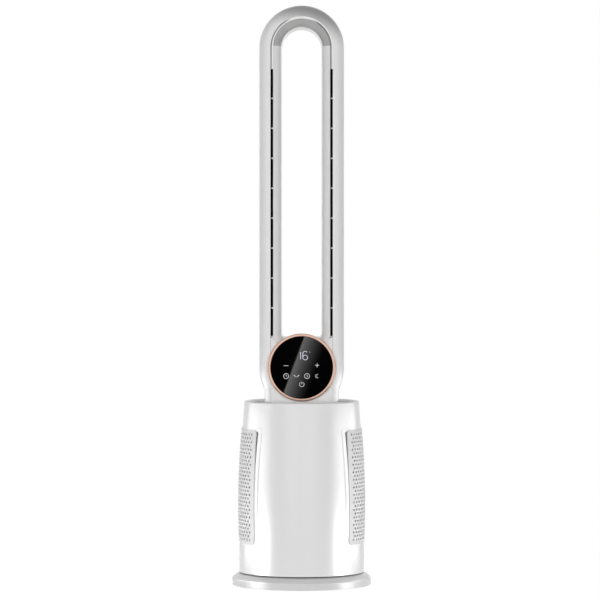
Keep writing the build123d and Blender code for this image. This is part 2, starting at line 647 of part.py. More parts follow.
def drive_pinion():
    """Small gear that rolls round the fixed one, on its own collar and shaft."""
    gap_towards_gear = 90 + 180 / PINION_TEETH
    low = WELL_FLOOR_Z + PINION_LIFT
    teeth = extrude(Pos(0, -CENTRE_DISTANCE, low) * gear_face(PINION_TEETH, gap_towards_gear), PINION_FACE)
    collar = drill(0, -CENTRE_DISTANCE, low, TURNTABLE_TOP_Z - HEAD_SINK, PINION_COLLAR_RADIUS)
    shaft_top = TURNTABLE_TOP_Z + PINION_SHAFT_RISE
    return teeth + collar + drill(0, -CENTRE_DISTANCE, low, shaft_top, PINION_SHAFT_RADIUS)


# ---- drum housing ----------------------------------------------------------------------------
def body_radius(z):
    """Outer radius of the drum at a height."""
    lean = max(0.0, z - BODY_STRAIGHT_Z)
    return BODY_RADIUS - (BODY_ARC_RADIUS - sqrt(BODY_ARC_RADIUS**2 - lean**2))


def door_radius(z):
    """Outer radius of a filter door at a height."""
    off = z - DOOR_FULL_Z
    return DOOR_RADIUS - (DOOR_ARC_RADIUS - sqrt(DOOR_ARC_RADIUS**2 - off**2))


def door_layer(outside, inside, low, high):
    """A turned layer between two depths under the door's face, as a stack of short cones."""
    heights = [low + (high - low) * k / DOOR_CONES for k in range(DOOR_CONES + 1)]
    outer = [(door_radius(z) - outside, z) for z in heights]
    inner = [(door_radius(z) - inside, z) for z in reversed(heights)]
    return turned(Polyline(*outer, *inner, close=True))


def drum():
    """Both housings as one turned shell, before the windows are cut."""
    def inner(z):
        return body_radius(z) - BODY_WALL

    bottom, bend, top = BODY_BOTTOM_Z, BODY_STRAIGHT_Z, BODY_TOP_Z
    rim_in = body_radius(top) - RIM_WIDTH
    rim_under = top - RIM_HEIGHT
    shell = turned(
        Line((body_radius(bottom), bottom), (body_radius(bend), bend)),
        profile_arc(body_radius, bend, top),
        Polyline((body_radius(top), top), (rim_in, top), (rim_in, rim_under), (inner(rim_under), rim_under)),
        profile_arc(inner, bend, rim_under),
        Polyline((inner(bend), bend), (inner(bottom), bottom), (body_radius(bottom), bottom)),
    )
    shell = fillet(shell.edges().group_by(Axis.Z)[-1], RIM_ROUND)
    shell += ring(BODY_RADIUS - BODY_WALL / 2, FLANGE_INNER, TURNTABLE_TOP_Z, TURNTABLE_TOP_Z + FLANGE_THICK)
    ledge_outer = inner(TOP_COVER_Z) + BODY_WALL / 2
    shell += ring(ledge_outer, inner(TOP_COVER_Z) - LEDGE_WIDTH, TOP_COVER_Z - LEDGE_THICK, TOP_COVER_Z)
    for x, y in housing_screw_places():
        shell -= drill(x, y, TURNTABLE_TOP_Z - OVERCUT, TURNTABLE_TOP_Z + FLANGE_THICK - HOLE_FLOOR,
                       SCREW_RADIUS + PILOT_GAP)
    return shell


def housings():
    """Front and rear housing: the drum with its windows, cut in two at its sides."""
    quarter = drum() & block(0, BIG, -BIG, 0, 0, BIG)
    low, high = DOOR_BOTTOM_Z, DOOR_TOP_Z
    sink = DOOR_WALL + FIT_GAP
    half, corner = DOOR_HALF_WIDTH, DOOR_CORNER
    frame = door_layer(DOOR_WALL / 2, sink + FRAME_DEPTH, low - FRAME_WIDTH, high + FRAME_WIDTH)
    frame &= side_prism(half + FRAME_WIDTH, low - FRAME_WIDTH, high + FRAME_WIDTH, corner)
    quarter += frame & block(0, BIG, -BIG, 0, 0, BIG)
    pocket = door_layer(-3 * DOOR_LAP, sink, low - FIT_GAP, high + FIT_GAP)
    pocket &= side_prism(half + FIT_GAP, low - FIT_GAP, high + FIT_GAP, corner + FIT_GAP)
    window = side_prism(half - DOOR_LAP + FIT_GAP, low + DOOR_LAP - FIT_GAP, high - DOOR_LAP + FIT_GAP,
                        corner - DOOR_LAP + FIT_GAP)
    quarter = quarter - pocket - window
    front = quarter + quarter.mirror(Plane.YZ)
    return front, front.mirror(Plane.XZ)


def top_cover():
    """Sunk lid round the neck, trapped between the two housings."""
    radius = body_radius(TOP_COVER_Z + TOP_COVER_THICK) - BODY_WALL - FIT_GAP
    lid = ring(radius, 0, TOP_COVER_Z, TOP_COVER_Z + TOP_COVER_THICK)
    hole = RectangleRounded(2 * (NECK_HALF_WIDTH + FIT_GAP), 2 * (NECK_HALF_DEPTH + FIT_GAP),
                            NECK_CORNER + FIT_GAP)
    return lid - extrude(Pos(0, 0, TOP_COVER_Z - OVERCUT) * hole, TOP_COVER_THICK + 2 * OVERCUT)


# ---- filter doors and filters ----------------------------------------------------------------
def hole_tools():
    """The door's air holes: staggered rows of small windows whose walls point at the axis."""
    tools = []
    far, near = DOOR_RADIUS + DOOR_LAP, FILTER_OUTER
    for row in range(HOLE_ROWS):
        z = DOOR_MID_Z + (row - (HOLE_ROWS - 1) / 2) * HOLE_PITCH_Z
        count = HOLE_COLUMNS - row % 2
        for column in range(count):
            middle = (column - (count - 1) / 2) * HOLE_PITCH_ANGLE
            a, b = radians(middle - HOLE_ANGLE / 2), radians(middle + HOLE_ANGLE / 2)
            sector = Polyline((near * cos(a), near * sin(a)), (far * cos(a), far * sin(a)),
                              (far * cos(b), far * sin(b)), (near * cos(b), near * sin(b)), close=True)
            tools.append(extrude(Pos(0, 0, z - HOLE_HEIGHT / 2) * make_face(sector), HOLE_HEIGHT))
    return tools


def filter_door():
    """Perforated cover of the right-hand side, with the skirt that plugs into its window."""
    low, high, half = DOOR_BOTTOM_Z, DOOR_TOP_Z, DOOR_HALF_WIDTH
    panel = door_layer(0, DOOR_WALL, low - OVERCUT, high + OVERCUT) & side_prism(half, low, high, DOOR_CORNER)
    skirt_low, skirt_high, skirt_half = low + DOOR_LAP, high - DOOR_LAP, half - DOOR_LAP
    skirt_corner = DOOR_CORNER - DOOR_LAP
    skirt = door_layer(DOOR_WALL / 2, DOOR_WALL + SKIRT_DEPTH, low, high)
    skirt &= side_prism(skirt_half, skirt_low, skirt_high, skirt_corner)
    skirt -= side_prism(skirt_half - SKIRT_WALL, skirt_low + SKIRT_WALL, skirt_high - SKIRT_WALL,
                        skirt_corner - SKIRT_WALL)
    return panel.cut(*hole_tools()) + skirt


def sector(inner, outer, half_angle, low, high):
    """A curved slab on the right-hand side."""
    a = radians(half_angle)
    face = make_face(Curve() + [
        CenterArc((0, 0), outer, -half_angle, 2 * half_angle),
        Line((outer * cos(a), outer * sin(a)), (inner * cos(a), inner * sin(a))),
        CenterArc((0, 0), inner, -half_angle, 2 * half_angle),
        Line((inner * cos(a), -inner * sin(a)), (outer * cos(a), -outer * sin(a))),
    ])
    return extrude(Pos(0, 0, low) * face, high - low)


def filter_frame():
    """Card frame round a filter."""
    low, high = FILTER_BOTTOM_Z, FILTER_TOP_Z
    frame = sector(FILTER_INNER, FILTER_OUTER, FILTER_HALF_ANGLE, low, high)
    return frame - sector(FILTER_INNER - OVERCUT, FILTER_OUTER + OVERCUT,
                          FILTER_HALF_ANGLE - FILTER_FRAME_ANGLE, low + FILTER_FRAME_WALL,
                          high - FILTER_FRAME_WALL)


def filter_pleats():
    """Folded filter paper inside the frame."""
    span = FILTER_HALF_ANGLE - FILTER_FRAME_ANGLE - PLEAT_GAP_ANGLE
    folds = 2 * PLEAT_COUNT
    near, far = FILTER_INNER + PLEAT_INSET, FILTER_OUTER - PLEAT_INSET
    angles = [radians(-span + 2 * span * k / folds) for k in range(folds + 1)]
    ridge = [((far if k % 2 else near + PLEAT_THICK * 2), a) for k, a in enumerate(angles)]
    valley = [((far - PLEAT_THICK * 2 if k % 2 else near), a) for k, a in enumerate(angles)]
    path = ridge + list(reversed(valley))
    outline = Polyline(*[(r * cos(a), r * sin(a)) for r, a in path], close=True)
    low = FILTER_BOTTOM_Z + FILTER_FRAME_WALL
    return extrude(Pos(0, 0, low) * make_face(outline), FILTER_TOP_Z - FILTER_FRAME_WALL - low)


def filter_seal():
    """Foam strip on the filter's inner face."""
    low, high = FILTER_BOTTOM_Z, FILTER_TOP_Z
    seal = sector(FILTER_INNER - SEAL_THICK, FILTER_INNER, FILTER_HALF_ANGLE, low, high)
    return seal - sector(FILTER_INNER - 2 * SEAL_THICK, FILTER_INNER + SEAL_THICK,
                         FILTER_HALF_ANGLE - 2 * FILTER_FRAME_ANGLE, low + 2 * FILTER_FRAME_WALL,
                         high - 2 * FILTER_FRAME_WALL)


# ---- chassis ---------------------------------------------------------------------------------
def chassis():
    """Inner tube that carries the fan unit and the filters."""
    tube = ring(CHASSIS_RADIUS, CHASSIS_INNER, TURNTABLE_TOP_Z, NECK_FLANGE_Z)
    flange_top = TURNTABLE_TOP_Z + CHASSIS_FLANGE_THICK
    tube += ring(CHASSIS_FLANGE_RADIUS, CHASSIS_INNER, TURNTABLE_TOP_Z, flange_top)
    tube += ring(CHASSIS_RADIUS, DUCT_LEDGE_INNER, DUCT_TOP_Z - DUCT_LEDGE_THICK, DUCT_TOP_Z)
    shelf_low = FILTER_BOTTOM_Z - FIT_GAP
    shelf_high = FILTER_TOP_Z + FIT_GAP
    mid = CHASSIS_RADIUS - CHASSIS_WALL / 2
    for turn in (0, 180):
        window = block(0, CHASSIS_FLANGE_RADIUS, -WINDOW_HALF_WIDTH, WINDOW_HALF_WIDTH,
                       FILTER_BOTTOM_Z + WINDOW_MARGIN, FILTER_TOP_Z - WINDOW_MARGIN)
        tube -= window.rotate(Axis.Z, turn)
        for z0, z1 in ((shelf_low - SHELF_THICK, shelf_low), (shelf_high, shelf_high + SHELF_THICK)):
            tube += sector(mid, FIN_OUTER, FIN_HALF_ANGLE, z0, z1).rotate(Axis.Z, turn)
        for side in (-1, 1):
            fin = block(mid, FIN_OUTER, -FIN_THICK / 2, FIN_THICK / 2, shelf_low - SHELF_THICK,
                        shelf_high + SHELF_THICK)
            tube += fin.rotate(Axis.Z, turn + side * FIN_HALF_ANGLE)
    for x, y in around(CHASSIS_SCREW_COUNT, CHASSIS_SCREW_RING):
        tube -= drill(x, y, TURNTABLE_TOP_Z - OVERCUT, flange_top + OVERCUT, SCREW_RADIUS + PILOT_GAP)
    for x, y in neck_screw_places():
        tube -= drill(x, y, DUCT_TOP_Z - DUCT_LEDGE_THICK - OVERCUT, DUCT_TOP_Z + OVERCUT,
                      SCREW_RADIUS + PILOT_GAP)
    return tube


def chassis_screws():
    """Screws that hold the chassis on the turntable."""
    z = TURNTABLE_TOP_Z + CHASSIS_FLANGE_THICK
    length = CHASSIS_FLANGE_THICK + TURNTABLE_THICK - HOLE_FLOOR - HOLE_SPARE
    return [Pos(x, y, z) * screw(length) for x, y in around(CHASSIS_SCREW_COUNT, CHASSIS_SCREW_RING)]


# ---- fan unit --------------------------------------------------------------------------------
def shroud_radius(z):
    """Inner radius of the duct round the impeller."""
    share = (z - THROAT_Z) / (SHROUD_TOP_Z - THROAT_Z)
    return THROAT_RADIUS + (DUCT_RADIUS - THROAT_RADIUS) * min(1.0, max(0.0, share))


def fan_duct():
    """Duct with its bell-shaped inlet, the impeller's shroud and the flange it stands on."""
    wall = DUCT_WALL
    lip = INLET_RADIUS + GUARD_RIM
    diagonal = cos(radians(45))
    inner, outer = BELL_RADIUS * diagonal, (BELL_RADIUS - wall) * diagonal
    bell_in = (INLET_RADIUS - inner, THROAT_Z - inner)
    bell_out = (INLET_RADIUS - outer, THROAT_Z - outer)
    duct = turned(
        ThreePointArc((INLET_RADIUS, INLET_Z), bell_in, (THROAT_RADIUS, THROAT_Z)),
        Polyline((THROAT_RADIUS, THROAT_Z), (DUCT_RADIUS, SHROUD_TOP_Z), (DUCT_RADIUS, FLANGE_TOP_Z),
                 (NECK_FLANGE_RADIUS, FLANGE_TOP_Z), (NECK_FLANGE_RADIUS, DUCT_TOP_Z),
                 (DUCT_RADIUS + wall, DUCT_TOP_Z), (DUCT_RADIUS + wall, SHROUD_TOP_Z),
                 (THROAT_RADIUS + wall, THROAT_Z)),
        ThreePointArc((THROAT_RADIUS + wall, THROAT_Z), bell_out, (INLET_RADIUS, INLET_Z + wall)),
        Polyline((INLET_RADIUS, INLET_Z + wall), (lip, INLET_Z + wall), (lip, INLET_Z),
                 (INLET_RADIUS, INLET_Z)),
    )
    for x, y in neck_screw_places():
        duct -= drill(x, y, DUCT_TOP_Z - OVERCUT, FLANGE_TOP_Z + OVERCUT, SCREW_RADIUS + PILOT_GAP)
    return duct


def inlet_guard():
    """Ring-and-spoke guard under the inlet."""
    low = INLET_Z - GUARD_THICK
    step = INLET_RADIUS / GUARD_RINGS
    guard = ring(INLET_RADIUS + GUARD_RIM, INLET_RADIUS, low, INLET_Z)
    for k in range(1, GUARD_RINGS):
        guard += ring(k * step + GUARD_BAR / 2, k * step - GUARD_BAR / 2, low, INLET_Z)
    for k in range(GUARD_SPOKES):
        spoke = block(step, INLET_RADIUS + GUARD_RIM / 2, -GUARD_BAR / 2, GUARD_BAR / 2, low, INLET_Z)
        guard += spoke.rotate(Axis.Z, 360 * k / GUARD_SPOKES)
    return guard


def twisted_blade(root, tip, low, high, turn, thick, stations):
    """A thin blade that winds round the axis as it rises, from radius root to tip."""
    sections = []
    for k in range(stations):
        share = k / (stations - 1)
        z = low + (high - low) * share
        angle = turn * share**BLADE_EASE
        card = Pos((root + tip) / 2, 0, 0) * Rectangle(tip - root, thick)
        sections.append(Pos(0, 0, z) * Rot(0, 0, angle) * card)
    return loft(sections)


def impeller():
    """Mixed-flow impeller: a cone-shaped hub with wound blades."""
    low, high = THROAT_Z, IMPELLER_TOP_Z
    nose = low - HUB_NOSE
    blade_low, blade_high = low + BLADE_RISE, high - OVERCUT
    hub = turned(
        Line((0, nose), (HUB_NOSE_RADIUS, nose)),
        ThreePointArc((HUB_NOSE_RADIUS, nose), (IMPELLER_HUB_LOW, low + HUB_BELLY),
                      (IMPELLER_HUB_HIGH, high)),
        Polyline((IMPELLER_HUB_HIGH, high), (0, high), (0, nose)),
    )
    core = turned(Polyline((0, blade_low), (shroud_radius(blade_low) - TIP_GAP, blade_low),
                           (shroud_radius(blade_high) - TIP_GAP, blade_high), (0, blade_high), close=True))
    blade = twisted_blade(IMPELLER_HUB_LOW / 2, DUCT_RADIUS + DUCT_WALL, low + OVERCUT, high + OVERCUT,
                          BLADE_SWEEP, BLADE_THICK, 5)
    blade = blade & core
    for k in range(BLADE_COUNT):
        hub += blade.rotate(Axis.Z, 360 * k / BLADE_COUNT)
    return hub - ring(SHAFT_RADIUS + SEAT_GAP, 0, nose - OVERCUT, high + OVERCUT)


def impeller_nut():
    """Nut under the impeller."""
    low = THROAT_Z - HUB_NOSE - NUT_HEIGHT
    nut = extrude(Pos(0, 0, low) * RegularPolygon(NUT_RADIUS, 6), NUT_HEIGHT)
    return nut - ring(SHAFT_RADIUS + SEAT_GAP, 0, low - OVERCUT, low + NUT_HEIGHT + OVERCUT)


def motor_shaft():
    """Steel shaft from the nut to the upper bearing."""
    shaft = ring(SHAFT_RADIUS, 0, THROAT_Z - HUB_NOSE - NUT_HEIGHT, BEARING_HIGH_Z + BEARING_WIDTH)
    return chamfer(shaft.edges().filter_by(GeomType.CIRCLE), SHAFT_CHAMFER)


def motor_rotor():
    """Magnet drum on the shaft."""
    low, high = STATOR_BOTTOM_Z - ROTOR_OVERHANG, STATOR_TOP_Z + ROTOR_OVERHANG
    return ring(ROTOR_RADIUS, SHAFT_RADIUS + SEAT_GAP, low, high)


def motor_stator():
    """Laminated ring with its poles."""
    outer = BUCKET_RADIUS - BUCKET_WALL - FIT_GAP / 3
    yoke = outer - STATOR_YOKE
    bore = ROTOR_RADIUS + AIR_GAP
    core = ring(outer, yoke, STATOR_BOTTOM_Z, STATOR_TOP_Z)
    for k in range(POLE_COUNT):
        pole = block(bore, yoke + OVERCUT, -POLE_WIDTH / 2, POLE_WIDTH / 2, STATOR_BOTTOM_Z, STATOR_TOP_Z)
        core += pole.rotate(Axis.Z, 360 * k / POLE_COUNT)
    return core - ring(bore, 0, STATOR_BOTTOM_Z - OVERCUT, STATOR_TOP_Z + OVERCUT)


def motor_windings():
    """Copper coil on each pole."""
    yoke = BUCKET_RADIUS - BUCKET_WALL - FIT_GAP / 3 - STATOR_YOKE
    near, far = ROTOR_RADIUS + AIR_GAP + COIL_SET_BACK, yoke - COIL_SET_BACK / 2
    inner, build = POLE_WIDTH / 2 + COIL_GAP, COIL_BUILD
    low, high = STATOR_BOTTOM_Z - COIL_GAP, STATOR_TOP_Z + COIL_GAP
    coil = block(near, far, -inner - build, inner + build, low - build, high + build)
    coil -= block(near - OVERCUT, far + OVERCUT, -inner, inner, low, high)
    return [coil.rotate(Axis.Z, 360 * k / POLE_COUNT) for k in range(POLE_COUNT)]


def bearing_seat(low, high, closed_low):
    """A cup round a bearing, open at the end that closed_low says isn't closed."""
    wall_low, wall_high = (low - SEAT_FLOOR, high) if closed_low else (low, high + SEAT_FLOOR)
    cup = ring(BEARING_RADIUS + SEAT_WALL, SHAFT_RADIUS + SHAFT_CLEAR, wall_low, wall_high)
    return cup - ring(BEARING_RADIUS + SEAT_GAP, 0, low, high)


def motor_end_cap():
    """Lid of the motor's bucket, with the lower bearing's seat."""
    cup = bearing_seat(BEARING_LOW_Z, BEARING_LOW_Z + BEARING_WIDTH, True)
    radius = BUCKET_RADIUS - BUCKET_WALL - FIT_GAP / 3
    lid_inner = BEARING_RADIUS + SEAT_WALL - OVERCUT
    return cup + ring(radius, lid_inner, BUCKET_BOTTOM_Z, BUCKET_BOTTOM_Z + END_CAP_THICK)


def diffuser():
    """Stator vanes between the motor's bucket and the duct."""
    outer = DUCT_RADIUS - FIT_GAP
    low, high = BUCKET_BOTTOM_Z, BUCKET_TOP_Z
    bucket = ring(BUCKET_RADIUS, BUCKET_RADIUS - BUCKET_WALL, low, high)
    bucket += ring(BUCKET_RADIUS, SHAFT_RADIUS + SHAFT_CLEAR, high - BUCKET_LID, high)
    seat_top = BEARING_HIGH_Z + BEARING_WIDTH
    bucket += bearing_seat(BEARING_HIGH_Z, seat_top, False)
    bucket += ring(BEARING_RADIUS, 0, high - BUCKET_WALL, high)
    shell_low = low + 2 * VANE_INSET
    shell = ring(outer, outer - DIFFUSER_WALL, shell_low, DIFFUSER_TOP_Z)
    vane = twisted_blade(BUCKET_RADIUS - BUCKET_WALL / 2, outer - DIFFUSER_WALL / 2, shell_low + VANE_INSET,
                         high - 2 * VANE_INSET, -VANE_TURN, VANE_THICK, 4)
    for k in range(VANE_COUNT):
        bucket += vane.rotate(Axis.Z, 360 * k / VANE_COUNT)
    return bucket + shell


def bearing_races(bore, outer):
    """One ring of a ball bearing for each end of the shaft, grooved for the balls."""
    made = []
    for low in (BEARING_LOW_Z, BEARING_HIGH_Z):
        race = ring(outer, bore, low, low + BEARING_WIDTH)
        groove = Pos(0, 0, low + BEARING_WIDTH / 2) * Torus(ball_ring(), BALL_RADIUS + RUN_GAP)
        made.append(race - groove)
    return made


def ball_ring():
    """Radius of the circle on which the balls run."""
    return (BEARING_RADIUS + SHAFT_RADIUS) / 2


def bearing_balls():
    """Balls of both bearings."""
    return [
        Pos(x, y, low + BEARING_WIDTH / 2) * Sphere(BALL_RADIUS)
        for low in (BEARING_LOW_Z, BEARING_HIGH_Z)
        for x, y in around(BALL_COUNT, ball_ring())
    ]


# ---- circuit board ---------------------------------------------------------------------------
def control_board():
    """Main circuit board on its posts."""
    z = TURNTABLE_TOP_Z + BOARD_LIFT
    board = block(-BOARD_WIDTH / 2, BOARD_WIDTH / 2, BOARD_Y - BOARD_DEPTH / 2, BOARD_Y + BOARD_DEPTH / 2,
                  z, z + BOARD_THICK)
    for x, y in board_posts():
        board -= drill(x, y, z - OVERCUT, z + BOARD_THICK + OVERCUT, SCREW_RADIUS + PILOT_GAP)
    return board


def board_screws():
    """Screws that hold the board on its posts."""
    z = TURNTABLE_TOP_Z + BOARD_LIFT + BOARD_THICK
    return [Pos(x, y, z) * screw(BOARD_SCREW_LENGTH) for x, y in board_posts()]


def board_components():
    """The board's largest parts."""
    z = TURNTABLE_TOP_Z + BOARD_LIFT + BOARD_THICK
    parts = [
        block(x - width / 2, x + width / 2, BOARD_Y + y - depth / 2, BOARD_Y + y + depth / 2, z, z + height)
        for x, y, width, depth, height in BOARD_BLOCKS
    ]
    parts += [drill(x, BOARD_Y + y, z, z + CAPACITOR_HEIGHT, CAPACITOR_RADIUS) for x, y in CAPACITORS]
    return parts


# ---- neck ------------------------------------------------------------------------------------
def neck_screw_places():
    """Places of the screws through the neck's flange."""
    turns = [radians(a) for a in NECK_SCREW_ANGLES]
    return [(NECK_SCREW_RING * cos(a), NECK_SCREW_RING * sin(a)) for a in turns]


def neck_seal():
    """Foam ring between the duct and the neck."""
    seal = ring(NECK_FLANGE_RADIUS, DUCT_RADIUS + DUCT_WALL, FLANGE_TOP_Z, NECK_FLANGE_Z)
    for x, y in neck_screw_places():
        seal -= drill(x, y, FLANGE_TOP_Z - OVERCUT, NECK_FLANGE_Z + OVERCUT, SCREW_RADIUS + PILOT_GAP)
    return seal


def neck_screws():
    """Screws through the neck's flange, the seal and the duct's flange into the chassis."""
    length = NECK_BOTTOM_Z - DUCT_TOP_Z + NECK_SCREW_BITE
    return [Pos(x, y, NECK_BOTTOM_Z) * screw(length) for x, y in neck_screw_places()]


def neck_tube():
    """Duct from the fan unit up into the loop, with sunk faces for the two covers."""
    width, depth = NECK_HALF_WIDTH, NECK_HALF_DEPTH
    outer = RectangleRounded(2 * width, 2 * depth, NECK_CORNER)
    neck = extrude(Pos(0, 0, NECK_FLANGE_Z) * outer, TAPER_BOTTOM_Z - FIT_GAP - NECK_FLANGE_Z)
    neck += ring(NECK_FLANGE_RADIUS, 0, NECK_FLANGE_Z, NECK_BOTTOM_Z)
    spigot_width = loop_half_width(TAPER_BOTTOM_Z) - LOOP_WALL - 2 * FIT_GAP
    spigot_depth = COVER_INNER_Y - FIT_GAP
    spigot = RectangleRounded(2 * spigot_width, 2 * spigot_depth, NECK_CORNER - LOOP_WALL)
    top = TAPER_BOTTOM_Z + SPIGOT_RISE
    neck += extrude(Pos(0, 0, NECK_FLANGE_Z) * spigot, top - NECK_FLANGE_Z)
    sunk_bottom = COVER_BOTTOM_Z - FIT_GAP
    for side in (-1, 1):
        near, far = sorted((side * (COVER_INNER_Y - FIT_GAP), side * (depth + OVERCUT)))
        neck -= block(-OUTER_LIP, OUTER_LIP, near, far, sunk_bottom, BIG)
    inside = RectangleRounded(2 * (spigot_width - NECK_WALL), 2 * (spigot_depth - NECK_WALL),
                              NECK_CORNER - LOOP_WALL - NECK_WALL)
    neck -= extrude(Pos(0, 0, NECK_BOTTOM_Z) * inside, BIG)
    neck -= ring(DUCT_RADIUS, 0, NECK_FLANGE_Z - OVERCUT, NECK_BOTTOM_Z + OVERCUT) & extrude(
        Pos(0, 0, NECK_FLANGE_Z - OVERCUT) * inside, BIG
    )
    tools = [drill(x, y, NECK_FLANGE_Z - OVERCUT, NECK_BOTTOM_Z + OVERCUT, SCREW_RADIUS + PILOT_GAP)
             for x, y in neck_screw_places()]
    tools += rear_screw_holes()
    return neck.cut(*tools)


# ---- air loop --------------------------------------------------------------------------------
def loop_half_width(z):
    """Half width of the loop's outer shell: upright, then drawn in towards the neck."""
    drop = max(0.0, TAPER_TOP_Z - z)
    return LOOP_HALF_WIDTH - (TAPER_RADIUS - sqrt(TAPER_RADIUS**2 - drop**2))


def roll_arc(half_width, inset):
    """Radius and centre of the arc that rolls a leg's face into its side."""
    run = half_width - OUTER_LIP
    depth = SIDE_ROLL * run / (LOOP_HALF_WIDTH - OUTER_LIP)
    radius = (run**2 + depth**2) / (2 * run)
    return radius - inset, (half_width - radius, -LOOP_HALF_DEPTH + depth)


def roll_edge(half_width, inset, start):
    """That arc, from the distance start to the side, on the front."""
    radius, (cx, cy) = roll_arc(half_width, inset)
    begin = atan2(-sqrt(radius**2 - (start - cx) ** 2), start - cx)
    points = [(cx + radius * cos(begin * k), cy + radius * sin(begin * k)) for k in (1.0, 0.5, 0.0)]
    return points


def leg_outline():
    """Whole section of a leg, in distance from the loop's middle plane and depth."""
    start, mid, end = roll_edge(LOOP_HALF_WIDTH, 0, OUTER_LIP)
    radius, (cx, cy) = roll_arc(LOOP_HALF_WIDTH, 0)
    seam_y = -cy + sqrt(radius**2 - (SLOT_CENTRE - cx) ** 2)
    normal = ((SLOT_CENTRE - cx) / radius, (seam_y + cy) / radius)
    back_radius = (SLOT_CENTRE - OPENING_HALF_WIDTH) / (1 + normal[0])
    bx, by = SLOT_CENTRE - normal[0] * back_radius, seam_y - normal[1] * back_radius
    turn = (atan2(normal[1], normal[0]) + pi) / 2
    back_mid = (bx + back_radius * cos(turn), by + back_radius * sin(turn))
    lean = atan2((seam_y + cy), SLOT_CENTRE - cx) / 2
    side_mid = (cx + radius * cos(lean), -cy + radius * sin(lean))
    lip = (INNER_LIP, -LOOP_HALF_DEPTH)
    chord = (CREASE[0] - lip[0], CREASE[1] - lip[1])
    reach = hypot(*chord)
    bulge = ((lip[0] + CREASE[0]) / 2 - chord[1] / reach * STRIP_BULGE,
             (lip[1] + CREASE[1]) / 2 + chord[0] / reach * STRIP_BULGE)
    return make_face(Curve() + [
        ThreePointArc(start, mid, end),
        Line(end, (LOOP_HALF_WIDTH, -cy)),
        ThreePointArc((LOOP_HALF_WIDTH, -cy), side_mid, (SLOT_CENTRE, seam_y)),
        ThreePointArc((SLOT_CENTRE, seam_y), back_mid, (OPENING_HALF_WIDTH, by)),
        Polyline((OPENING_HALF_WIDTH, by), (OPENING_HALF_WIDTH, STRAIGHT_INNER_Y), CREASE),
        ThreePointArc(CREASE, bulge, lip),
        Line(lip, start),
    ])


def wall_section():
    """The leg's wall, all round its section."""
    outline = leg_outline()
    return outline - offset(outline, amount=-LOOP_WALL, kind=Kind.INTERSECTION)


def area(x0, x1, y0, y1):
    """A flat rectangle between two corners."""
    return Pos((x0 + x1) / 2, (y0 + y1) / 2, 0) * Rectangle(x1 - x0, y1 - y0)


def soften_lip(section, x, radius):
    """Rounds the visible corner of a slot's lip."""
    corner = min(section.vertices(), key=lambda v: hypot(v.X - x, v.Y + LOOP_HALF_DEPTH))
    return fillet(corner, radius)


def along_hairpin(section, bottom):
    """Carries a leg section up the right leg, over the arch and down the left leg."""
    flat = Pos(0, 0, ARCH_Z) * section
    leg = extrude(flat, amount=ARCH_Z - bottom, dir=(0, 0, -1))
    arch = revolve(flat, Axis((0, 0, ARCH_Z), (0, -1, 0)), 180)
    return leg + arch + leg.mirror(Plane.YZ)


def taper_solid(inset):
    """The outer shell's foot on the right, as a solid drawn in by a wall."""
    stations = 6
    sections = []
    for k in range(stations):
        z = TAPER_TOP_Z - (TAPER_TOP_Z - TAPER_BOTTOM_Z) * k / (stations - 1)
        half = loop_half_width(z)
        start, mid, end = roll_edge(half, inset, OUTER_LIP)
        (x0, y0), (x1, y1), (x2, y2) = start, mid, end
        root = INNER_LIP
        outline = make_face(Curve() + [
            Line((root, y0), start),
            ThreePointArc(start, mid, end),
            Line(end, (x2, -y2)),
            ThreePointArc((x2, -y2), (x1, -y1), (x0, -y0)),
            Line((x0, -y0), (root, -y0)),
            Line((root, -y0), (root, y0)),
        ])
        sections.append(Pos(0, 0, z) * outline)
    return loft(sections)


def outer_shell():
    """Outer half of the loop, from the front slots round the side to the back seam."""
    wall = wall_section()
    keep = area(OUTER_LIP, BIG, -BIG, 0) + area(SLOT_CENTRE + FIT_GAP / 2, BIG, 0, BIG)
    section = soften_lip(wall & keep, OUTER_LIP, LIP_ROUND)
    low_section = soften_lip(wall & area(OUTER_LIP, BIG, -BIG, BIG), OUTER_LIP, LIP_ROUND)
    shell = along_hairpin(section, OPENING_BOTTOM_Z)
    low = extrude(Pos(0, 0, TAPER_TOP_Z) * low_section, amount=OPENING_BOTTOM_Z - TAPER_TOP_Z)
    foot = taper_solid(0) - taper_solid(LOOP_WALL)
    foot &= block(OUTER_LIP, BIG, -BIG, BIG, 0, BIG)
    side = low + foot
    return shell + side + side.mirror(Plane.YZ)


def inner_shell():
    """Inner half of the loop: the ring that bounds the opening."""
    wall = wall_section()
    keep = area(0, INNER_LIP, -BIG, 0) + area(0, SLOT_CENTRE - FIT_GAP / 2, 0, BIG)
    section = soften_lip(wall & keep, INNER_LIP, LIP_ROUND)
    shell = along_hairpin(section, CORNER_Z)
    turn = Axis((CORNER_X, 0, CORNER_Z), (0, 1, 0))
    level = Pos(0, 0, CORNER_Z) * section
    corner = revolve(level, turn, 90)
    floor = extrude(level.rotate(turn, 90), amount=2 * CORNER_X, dir=(-1, 0, 0))
    return shell + corner + corner.mirror(Plane.YZ) + floor


def nozzle_strip():
    """Strip behind the lips: it bridges the slots and closes the groove over the arch."""
    half = SLOT_WIDTH / 2 + STRIP_LAP
    section = area(SLOT_CENTRE - half, SLOT_CENTRE + half, STRIP_FRONT_Y, STRIP_FRONT_Y + STRIP_THICK)
    strip = along_hairpin(section, SLOT_BOTTOM_Z)
    cut = SLOT_WIDTH / 2 - STRIP_SHOW
    for side in (-1, 1):
        for k in range(SLOT_COUNT):
            low = SLOT_BOTTOM_Z + k * SLOT_PITCH + SLOT_BRIDGE / 2
            x0, x1 = side * SLOT_CENTRE - cut, side * SLOT_CENTRE + cut
            strip -= block(x0, x1, -BIG, BIG, low, low + SLOT_PITCH - SLOT_BRIDGE)
    return strip


